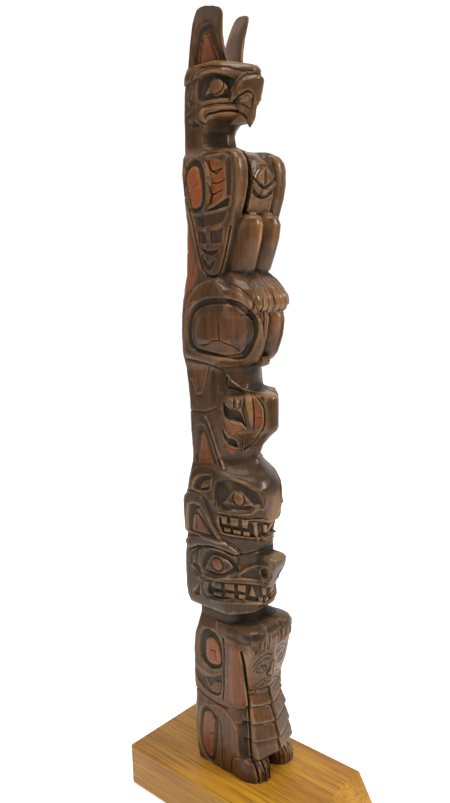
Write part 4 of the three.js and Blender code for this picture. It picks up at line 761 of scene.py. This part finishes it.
# A slow repeating waviness, a mean of crossed ripples
def ripples(x, y, z, size, seed):
    total = 0
    for k in range(6):
        turn = seed * 1.7 + k * 2.4
        way = (math.sin(turn), math.cos(turn * 1.3), math.sin(turn * 0.7 + 1))
        length = size * (0.7 + 0.13 * k)
        total = total + np.sin((x * way[0] + y * way[1] + z * way[2]) * 2 * math.pi / length + turn)
    return total / 6


# Softens a grid that closes on itself across its columns
def softened(grid, reachUp, reachAcross):
    for _ in range(2):
        total = sum(np.roll(grid, k, axis=1) for k in range(-reachAcross, reachAcross + 1))
        grid = total / (2 * reachAcross + 1)
        padded = np.pad(grid, ((reachUp + 1, reachUp), (0, 0)), mode="edge")
        running = np.cumsum(padded, axis=0)
        grid = (running[2 * reachUp + 1:] - running[:-2 * reachUp - 1]) / (2 * reachUp + 1)
    return grid


def deselectAll():
    if bpy.context.object and bpy.context.object.mode != "OBJECT":
        bpy.ops.object.mode_set(mode="OBJECT")
    bpy.ops.object.select_all(action="DESELECT")


def onlySelect(piece):
    deselectAll()
    piece.select_set(True)
    bpy.context.view_layer.objects.active = piece


# Rolls a flat grid up into a closed skin: places and marks are [row, column] arrays
def rolledSkin(name, x, y, z, marks):
    rows, columns = x.shape
    deselectAll()
    bpy.ops.mesh.primitive_grid_add(x_subdivisions=columns, y_subdivisions=rows - 1, size=2)
    skin = bpy.context.object
    skin.name = skin.data.name = name
    mesh = skin.data
    flat = np.empty(len(mesh.vertices) * 3)
    mesh.vertices.foreach_get("co", flat)
    flat = flat.reshape(-1, 3)
    column = np.rint((flat[:, 0] + 1) / 2 * columns).astype(int) % columns
    row = np.rint((flat[:, 1] + 1) / 2 * (rows - 1)).astype(int)
    placed = np.stack([x[row, column], y[row, column], z[row, column]], -1) * mm
    mesh.vertices.foreach_set("co", placed.ravel())
    for mark, values in marks.items():
        layer = mesh.attributes.new(mark, "FLOAT", "POINT")
        layer.data.foreach_set("value", values[row, column].astype(np.float32))
    mesh.update()
    bpy.ops.object.mode_set(mode="EDIT")
    bpy.ops.mesh.select_all(action="SELECT")
    bpy.ops.mesh.remove_doubles(threshold=1e-7)
    bpy.ops.mesh.select_all(action="DESELECT")
    bpy.ops.mesh.select_mode(type="EDGE")
    bpy.ops.mesh.select_non_manifold()
    bpy.ops.mesh.edge_face_add()
    bpy.ops.mesh.select_all(action="SELECT")
    bpy.ops.mesh.normals_make_consistent(inside=False)
    bpy.ops.object.mode_set(mode="OBJECT")
    return skin


# A rolled skin whose places are aside, forward and up from the pole's axis at the base's top
def onPole(name, aside, forward, up, marks):
    return rolledSkin(name, aside + pole["aside"], pole["behind"] - forward, up + pole["seat"], marks)


# The whole log: one half is carved, and the other mirrors it before the hand's unevenness is added
def carvedLog():
    columns, rows = pole["columns"], pole["rows"]
    even = np.linspace(0, math.pi, columns // 2 + 1)
    angle = even - pole["frontCrowding"] * np.sin(even)
    angle, height = np.meshgrid(angle, np.linspace(0, pole["crown"], rows))
    reach = logReach(angle, height)
    carving = Carving((reach * np.sin(angle)).ravel(), (reach * np.cos(angle)).ravel(), height.ravel())
    for figure in figures:
        figure(carving)
    reach = np.maximum(reach + carving.cut.reshape(reach.shape), 1)
    print("log carved on", reach.size, "corners")

    def bothSides(half):
        return np.concatenate([half, half[:, -2:0:-1]], axis=1)

    turned = np.concatenate([angle, -angle[:, -2:0:-1]], axis=1)
    reach, height = bothSides(reach), bothSides(height)
    x, y = reach * np.sin(turned), reach * np.cos(turned)
    reach = reach + pole["unevenness"] * (ripples(x, y, height, 17, 1) + 0.7 * ripples(x, y, height, 6, 2))
    x, y = reach * np.sin(turned), reach * np.cos(turned)
    marks = {
        "stain": bothSides(carving.stain.reshape(angle.shape)),
        "hollow": bothSides(carving.hollow.reshape(angle.shape)),
        "wornAndHighlit": bothSides(carving.wornAndHighlit.reshape(angle.shape)),
        "proud": reach - softened(reach, 2, 2),    # sharp edges
        "sunk": softened(reach, 9, 8) - reach,     # painted shade in broad hollows
    }
    return onPole("cedarPole", x, y, height, marks)


horn = {
    "out": 14.5,        # where the outer face stands, aside from the axis
    "level": 570,       # measured at this height
    "thick": 4.6,
    "tipShare": 0.35,   # how much of that is left at the tip
    "thinFrom": 584,    # the height where the thinning starts
    "tip": 598,
    "edgeBend": 0.55,   # 1 would be a round edge, and less is squarer
    "faceBend": 0.5,
    "unevenness": 0.12,
    "innerWear": 0.35,  # how rubbed the inner face is
    "turn": 16.2,       # turned in toward the front, degrees
    "lean": 0.223,      # outward for each millimetre up
    "outline": [(-23.5, 546), (-22.6, 561), (-19.2, 571.6), (-16.2, 580.2), (-13.3, 587.8), (-10.8, 593),
                (-8.6, 596.2), (-5.4, 597.6), (-1, 598), (5, 597.2), (9.2, 595.8), (10.8, 594),
                (10.9, 591.6), (9.4, 586.6), (8.1, 579.5), (8, 572), (8.6, 565.6), (11.4, 557), (12.4, 546)],
    "hollow": [(-20.6, 543), (-17, 562), (-14.5, 570.3), (-9.1, 582.7), (-6.4, 586.2), (0.6, 587.3),
               (3.5, 585.4), (4, 578.5), (6.2, 569.4), (8.8, 562.1), (8.4, 543)],
    "tongue": [(-18.3, 543), (-14.6, 562), (-11.2, 573.3), (-7, 580.7), (-3.5, 582.5), (-0.4, 581.3),
               (0.9, 576.3), (5, 561.7), (4.6, 543)],
    "slits": [[(-4.1, 581.4), (-5.4, 569.1), (-6.4, 558)], [(-5.6, 580.8), (-9.6, 571), (-13.4, 558)],
              [(-2.6, 580.8), (0.2, 571), (2.2, 558)]],
    "rows": 150,
    "columns": 150,
}


# One horn: a rounded board, lofted up its outline, hollowed on its outer face round a raised tongue
def carvedHorn(name, side):
    outline = np.array(horn["outline"], float)
    top = int(np.argmax(outline[:, 1]))
    rise = np.sin(np.linspace(0, math.pi / 2, horn["rows"]))
    height = outline[0, 1] + (outline[top, 1] - 0.02 - outline[0, 1]) * rise
    back = np.interp(height, outline[:top + 1, 1], outline[:top + 1, 0])
    front = np.interp(height, outline[top:, 1][::-1], outline[top:, 0][::-1])
    around, height = np.meshgrid(np.linspace(0, 2 * math.pi, horn["columns"], endpoint=False), height)
    middle, half = ((front + back) / 2)[:, None], ((front - back) / 2)[:, None]
    cosine, sine = np.cos(around), np.sin(around)
    along = middle + half * np.sign(cosine) * np.abs(cosine) ** horn["edgeBend"]
    left = horn["tipShare"] + (1 - horn["tipShare"]) * easeBetween(horn["tip"], horn["thinFrom"], height)
    thick = horn["thick"] * np.minimum(1, left)
    through = -horn["thick"] / 2 + thick / 2 * np.sign(sine) * np.abs(sine) ** horn["faceBend"]
    carving = Carving(along.ravel(), along.ravel(), height.ravel())
    carving.along, carving.up = along.ravel(), height.ravel()
    carving.shown = (sine > 0).ravel()
    carving.patch(horn["hollow"], -1.9, 1.4)
    carving.patch(horn["tongue"], 1.2, 1.4, stain=0.35)
    for cut in horn["slits"]:
        carving.groove(cut, 1.5, 1.5)
    through = through + carving.cut.reshape(through.shape)
    turn = math.radians(horn["turn"])
    out = horn["out"] - along * math.sin(turn) + horn["lean"] * (height - horn["level"]) + through
    forward = along * math.cos(turn)
    out = out + horn["unevenness"] * ripples(along, height, through, 11, 3)
    wornAndHighlit = carving.wornAndHighlit + horn["innerWear"] * (sine < 0).ravel()
    marks = {"stain": carving.stain, "hollow": carving.hollow, "wornAndHighlit": wornAndHighlit}
    marks = {mark: values.reshape(along.shape) for mark, values in marks.items()}
    # a rubbed rim and painted shade in the hollows, as the log's own edge and broad-hollow marks would give
    marks["proud"] = 0.25 * (np.abs(cosine) > 0.97) * (1 - marks["hollow"])
    marks["sunk"] = 1.2 * marks["hollow"] * (1 - marks["stain"] * 0.6)
    return onPole(name, side * out, forward, height, marks)


hook = {
    # forward, height, half width, half depth
    "rings": [(22, 530, 4.2, 5), (22.3, 525, 3.8, 4.6), (22.4, 521, 3, 3.6), (22, 518.4, 2.1, 2.5),
              (21.8, 516.6, 1.1, 1.3), (21.6, 515.2, 0.4, 0.5)],
    "columns": 40,
    "wear": 0.3,
}


# The beak's hooked tip, which hangs clear of the throat
def beakHook():
    rings = throughPoints(hook["rings"], False)
    around = np.linspace(0, 2 * math.pi, hook["columns"], endpoint=False)
    x = rings[:, 2:3] * np.cos(around)
    y = rings[:, 0:1] + rings[:, 3:4] * np.sin(around)
    z = np.repeat(rings[:, 1:2], hook["columns"], axis=1)
    marks = {mark: np.zeros_like(x) for mark in ("stain", "hollow", "wornAndHighlit", "proud", "sunk")}
    marks["wornAndHighlit"] += hook["wear"]
    return onPole("beakHook", x[::-1], y[::-1], z[::-1], marks)


def joinInto(piece, other):
    onlySelect(piece)
    join = piece.modifiers.new("join", "BOOLEAN")
    join.operation = "UNION"
    join.solver = "MANIFOLD"
    join.object = other
    bpy.ops.object.modifier_apply(modifier=join.name)
    bpy.data.objects.remove(other)


cedar = carvedLog()
print("log has", len(cedar.data.polygons), "faces")
for part in (carvedHorn("hornRight", 1), carvedHorn("hornLeft", -1), beakHook()):
    joinInto(cedar, part)
print("horns and beak joined:", len(cedar.data.polygons), "faces")

onlySelect(cedar)
triangles = sum(len(face.vertices) - 2 for face in cedar.data.polygons)
thin = cedar.modifiers.new("thin", "DECIMATE")
thin.ratio = pole["triangles"] / triangles
bpy.ops.object.modifier_apply(modifier=thin.name)
bpy.ops.object.shade_smooth_by_angle(angle=math.radians(pole["creaseAngle"]))
print("pole thinned to", len(cedar.data.polygons), "faces")

board = {
    "width": 99,
    "length": 175,       # of the top
    "thickness": 38,
    "frontRun": 21,      # how far the front end slopes out
    "edge": 1.5,
    "edgeSteps": 4,
    "creaseAngle": 35,
}


# The base: a planed board with its front end sawn on a slope and its edges eased
def baseBoard():
    deselectAll()
    footLength = board["length"] + board["frontRun"]
    bpy.ops.mesh.primitive_cube_add(size=1, location=(0, 0, board["thickness"] / 2 * mm),
                                    scale=(board["width"] * mm, footLength * mm, board["thickness"] * mm))
    plank = bpy.context.object
    plank.name = plank.data.name = "pineBoard"
    bpy.ops.object.transform_apply(location=True, rotation=True, scale=True)
    bpy.ops.object.mode_set(mode="EDIT")
    bpy.ops.mesh.select_all(action="DESELECT")
    bpy.ops.object.mode_set(mode="OBJECT")
    for corner in plank.data.vertices:
        corner.select = corner.co.y < 0 and corner.co.z > board["thickness"] / 2 * mm
    bpy.ops.object.mode_set(mode="EDIT")
    bpy.ops.transform.translate(value=(0, board["frontRun"] * mm, 0))
    bpy.ops.object.mode_set(mode="OBJECT")
    ease = plank.modifiers.new("ease", "BEVEL")
    ease.width = board["edge"] * mm
    ease.segments = board["edgeSteps"]
    ease.limit_method = "ANGLE"
    bpy.ops.object.modifier_apply(modifier=ease.name)
    bpy.ops.object.shade_smooth_by_angle(angle=math.radians(board["creaseAngle"]))
    return plank


plank = baseBoard()
print("board made:", len(plank.data.polygons), "faces")


def newMaterial(name):
    material = bpy.data.materials.new(name)
    material.use_nodes = True
    nodes = material.node_tree.nodes
    nodes.clear()
    output = nodes.new("ShaderNodeOutputMaterial")
    shader = nodes.new("ShaderNodeBsdfPrincipled")
    material.node_tree.links.new(shader.outputs["BSDF"], output.inputs["Surface"])
    return material, nodes, material.node_tree.links, shader


def setValues(node, values):
    for name, value in values.items():
        node.inputs[name].default_value = value


def noise(nodes, links, source, scale, detail, stretch=(1, 1, 1), roughness=0.55):
    mapping = nodes.new("ShaderNodeMapping")
    mapping.inputs["Scale"].default_value = stretch
    links.new(source, mapping.inputs["Vector"])
    texture = nodes.new("ShaderNodeTexNoise")
    setValues(texture, {"Scale": scale, "Detail": detail, "Roughness": roughness})
    links.new(mapping.outputs["Vector"], texture.inputs["Vector"])
    return texture.outputs["Fac"]


def remap(nodes, links, source, low, high, toLow=0.0, toHigh=1.0):
    node = nodes.new("ShaderNodeMapRange")
    setValues(node, {"From Min": low, "From Max": high, "To Min": toLow, "To Max": toHigh})
    links.new(source, node.inputs["Value"])
    return node.outputs["Result"]


# A Mix node's first input is the amount, its seventh and eighth are the colours, and its third output too
def mixed(nodes, links, amount, first, second):
    node = nodes.new("ShaderNodeMix")
    node.data_type = "RGBA"
    links.new(amount, node.inputs[0])
    for index, value in ((6, first), (7, second)):
        if isinstance(value, bpy.types.NodeSocket):
            links.new(value, node.inputs[index])
        else:
            node.inputs[index].default_value = (*value, 1)
    return node.outputs[2]


def maths(nodes, links, operation, first, second):
    node = nodes.new("ShaderNodeMath")
    node.operation = operation
    for index, value in ((0, first), (1, second)):
        if isinstance(value, bpy.types.NodeSocket):
            links.new(value, node.inputs[index])
        else:
            node.inputs[index].default_value = value
    return node.outputs["Value"]


def marked(nodes, name):
    node = nodes.new("ShaderNodeAttribute")
    node.attribute_name = name
    return node.outputs["Fac"]


bumpDepth = 0.0003   # metres, of the grain on both woods

cedarLook = {
    "brown": (0.078, 0.037, 0.014),
    "redBrown": (0.125, 0.043, 0.014),
    # dark wood for the grain and blotches, also the colour of painted shade
    "darkAndShade": (0.015, 0.0115, 0.006),
    "red": (0.30, 0.078, 0.018),
    # amber of rubbed wood, also used for painted highlights
    "amberAndHighlight": (0.36, 0.175, 0.065),
    "edge": (0.23, 0.135, 0.060),
    "grainScale": 420,
    "broadScale": 38,
    "blotchScale": 85,
    "coat": 0.12,
    "coatRoughness": 0.12,
    "specular": 0.2,
    "bump": 0.25,
}


def cedarMaterial():
    material, nodes, links, shader = newMaterial("stainedCedar")
    place = nodes.new("ShaderNodeTexCoord").outputs["Object"]
    grain = noise(nodes, links, place, cedarLook["grainScale"], 6, (1, 1, 0.06))
    broad = noise(nodes, links, place, cedarLook["broadScale"], 3, (1, 1, 0.5))
    ruddy = remap(nodes, links, broad, 0.35, 0.68)
    colour = mixed(nodes, links, ruddy, cedarLook["brown"], cedarLook["redBrown"])
    colour = mixed(nodes, links, remap(nodes, links, grain, 0.4, 0.68, 0, 0.6), colour, cedarLook["darkAndShade"])
    blotch = noise(nodes, links, place, cedarLook["blotchScale"], 5, (1, 1, 0.4), 0.65)
    colour = mixed(nodes, links, remap(nodes, links, blotch, 0.5, 0.66, 0, 0.5), colour, cedarLook["darkAndShade"])
    uneven = remap(nodes, links, grain, 0.25, 0.75, 1.0, 0.75)
    stain = maths(nodes, links, "MULTIPLY", marked(nodes, "stain"), uneven)
    colour = mixed(nodes, links, stain, colour, cedarLook["red"])
    # painted shade in broad hollows, with less of it on the red paint
    sunk = remap(nodes, links, marked(nodes, "sunk"), 0.15, 2.0)
    shade = maths(nodes, links, "MULTIPLY", sunk, remap(nodes, links, marked(nodes, "stain"), 0, 1, 0.9, 0.4))
    colour = mixed(nodes, links, shade, colour, cedarLook["darkAndShade"])
    # painted shade from the hollow mark: cuts, the chest gap, slat lines, under the chin, and the darkening
    # by height
    shadeAndDarkening = remap(nodes, links, marked(nodes, "hollow"), 0.4, 1, 0, 0.7)
    colour = mixed(nodes, links, shadeAndDarkening, colour, cedarLook["darkAndShade"])
    # rubbed amber, which also paints highlights on the legs, wing rims and tail
    patchy = remap(nodes, links, broad, 0.38, 0.62, 0.15, 1)
    wornAndHighlit = maths(nodes, links, "MULTIPLY", remap(nodes, links, marked(nodes, "wornAndHighlit"), 0.1, 1, 0, 0.8), patchy)
    colour = mixed(nodes, links, wornAndHighlit, colour, cedarLook["amberAndHighlight"])
    edge = remap(nodes, links, marked(nodes, "proud"), 0.10, 0.5, 0, 0.75)
    # rubbed edges fade where that painted shade is deepest
    outOfShade = remap(nodes, links, marked(nodes, "hollow"), 0.93, 1, 1, 0.25)
    edge = maths(nodes, links, "MULTIPLY", edge, outOfShade)
    colour = mixed(nodes, links, maths(nodes, links, "MULTIPLY", edge, patchy), colour, cedarLook["edge"])
    links.new(colour, shader.inputs["Base Color"])
    setValues(shader, {"Coat Weight": cedarLook["coat"], "Coat Roughness": cedarLook["coatRoughness"],
                       "Specular IOR Level": cedarLook["specular"]})
    rough = remap(nodes, links, broad, 0.3, 0.7, 0.28, 0.42)
    links.new(maths(nodes, links, "ADD", rough, maths(nodes, links, "MULTIPLY", shade, 0.35)),
              shader.inputs["Roughness"])
    bump = nodes.new("ShaderNodeBump")
    setValues(bump, {"Strength": cedarLook["bump"], "Distance": bumpDepth})
    links.new(grain, bump.inputs["Height"])
    links.new(bump.outputs["Normal"], shader.inputs["Normal"])
    return material


boardLook = {
    "honey": (0.27, 0.115, 0.007),
    "gold": (0.41, 0.205, 0.013),
    "grain": (0.085, 0.026, 0.002),
    "broadScale": 30,
    "linesScale": 640,
    "fineScale": 1500,
    "coat": 0.08,
    "coatRoughness": 0.25,
    "specular": 0.25,
    "bump": 0.3,
}


def boardMaterial():
    material, nodes, links, shader = newMaterial("stainedBoard")
    place = nodes.new("ShaderNodeTexCoord").outputs["Object"]
    broad = noise(nodes, links, place, boardLook["broadScale"], 3, (1, 0.16, 1))
    lines = noise(nodes, links, place, boardLook["linesScale"], 4, (1, 0.022, 1), 0.6)
    fine = noise(nodes, links, place, boardLook["fineScale"], 3, (1, 0.06, 1))
    golden = remap(nodes, links, broad, 0.35, 0.65)
    colour = mixed(nodes, links, golden, boardLook["honey"], boardLook["gold"])
    colour = mixed(nodes, links, remap(nodes, links, lines, 0.47, 0.66, 0, 0.7), colour, boardLook["grain"])
    colour = mixed(nodes, links, remap(nodes, links, fine, 0.5, 0.8, 0, 0.35), colour, boardLook["grain"])
    links.new(colour, shader.inputs["Base Color"])
    setValues(shader, {"Coat Weight": boardLook["coat"], "Coat Roughness": boardLook["coatRoughness"],
                       "Specular IOR Level": boardLook["specular"]})
    links.new(remap(nodes, links, broad, 0.3, 0.7, 0.42, 0.55), shader.inputs["Roughness"])
    bump = nodes.new("ShaderNodeBump")
    setValues(bump, {"Strength": boardLook["bump"], "Distance": bumpDepth})
    links.new(lines, bump.inputs["Height"])
    links.new(bump.outputs["Normal"], shader.inputs["Normal"])
    return material


for piece, material, node, slot in ((cedar, cedarMaterial(), "totem_pole", "stained_cedar"),
                                    (plank, boardMaterial(), "base_board", "stained_board")):
    piece.data.materials.clear()
    piece.data.materials.append(material)
    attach(piece, "root")
    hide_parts(node)
print("materials on")

studio = {
    "floorSize": 2.2,
    "floorDrop": 0.0002,
    "floorGlow": 0.42,
    "aim": (0, 0, 0.33),
    "lamps": {               # place, size, power
        "keyLight": ((0.45, -1.25, 1.1), (0.35, 0.6), 22.0),
        "topLight": ((-0.2, -0.2, 2.0), (1.0, 1.0), 28.0),
        "fillLight": ((-1.3, 0.2, 1.1), (1.1, 1.5), 10.0),
    },
    "warmth": (1.0, 0.95, 0.86),
    "behindCamera": 0.18,    # how bright the room is behind the camera
    "backdrop": 1.1,         # and behind the object
    "backdropWay": (0.74, 0.67, 0),
}

deselectAll()
bpy.ops.mesh.primitive_plane_add(size=studio["floorSize"], location=(0, 0, -studio["floorDrop"]))
floor = bpy.context.object
floor.name = "studioFloor"
floorMaterial, _, _, floorShader = newMaterial("paleFloor")
setValues(floorShader, {"Base Color": (0.9, 0.9, 0.9, 1), "Roughness": 0.9, "Emission Color": (1, 1, 1, 1),
                        "Emission Strength": studio["floorGlow"]})
floor.data.materials.append(floorMaterial)


def softLight(name, place, size, power):
    bpy.ops.object.light_add(type="AREA", location=place)
    lamp = bpy.context.object
    lamp.name = name
    lamp.data.shape = "RECTANGLE"
    lamp.data.size, lamp.data.size_y = size
    lamp.data.energy = power
    lamp.data.color = studio["warmth"]
    lamp.rotation_euler = (Vector(studio["aim"]) - Vector(place)).to_track_quat("-Z", "Y").to_euler()


for name, lamp in studio["lamps"].items():
    softLight(name, *lamp)
print("floor and lamps in place")


# A pale room, brightest behind the object
def paleRoom():
    world = bpy.context.scene.world or bpy.data.worlds.new("paleRoom")
    bpy.context.scene.world = world
    world.use_nodes = True
    nodes, links = world.node_tree.nodes, world.node_tree.links
    way = nodes.new("ShaderNodeTexCoord").outputs["Generated"]
    toward = nodes.new("ShaderNodeVectorMath")
    toward.operation = "DOT_PRODUCT"
    toward.inputs[1].default_value = studio["backdropWay"]
    links.new(way, toward.inputs[0])
    along = toward.outputs["Value"]
    strength = remap(nodes, links, along, 0.1, 0.75, studio["behindCamera"], studio["backdrop"])
    links.new(strength, nodes["Background"].inputs["Strength"])
    nodes["Background"].inputs["Color"].default_value = (1, 1, 1, 1)


paleRoom()
bpy.context.scene.view_settings.view_transform = "Standard"

view = {
    "place": (-439.84, -379.41, 463.18),   # millimetres
    "azimuth": -47.91,
    "down": 10.86,
    "roll": -1.63,
    "focal": 762.29,                       # in pixels of a picture 803 tall
    "tall": 803,
    "sensor": 36,
}


def photoCamera():
    azimuth, down, roll = (math.radians(view[k]) for k in ("azimuth", "down", "roll"))
    ahead = Vector((-math.sin(azimuth) * math.cos(down), math.cos(azimuth) * math.cos(down), -math.sin(down)))
    right = Vector((math.cos(azimuth), math.sin(azimuth), 0))
    up = right.cross(ahead)
    rolledRight = math.cos(roll) * right + math.sin(roll) * up
    rolledUp = -math.sin(roll) * right + math.cos(roll) * up
    lens = bpy.data.cameras.new("photoCamera")
    lens.sensor_fit = "AUTO"
    lens.sensor_width = view["sensor"]
    lens.lens = view["focal"] / view["tall"] * view["sensor"]
    lens.clip_start = 0.01
    camera = bpy.data.objects.new("photoCamera", lens)
    bpy.context.scene.collection.objects.link(camera)
    turn = Matrix((rolledRight, rolledUp, -ahead)).transposed().to_4x4()
    camera.matrix_world = Matrix.Translation(Vector(view["place"]) * mm) @ turn
    bpy.context.scene.camera = camera


photoCamera()
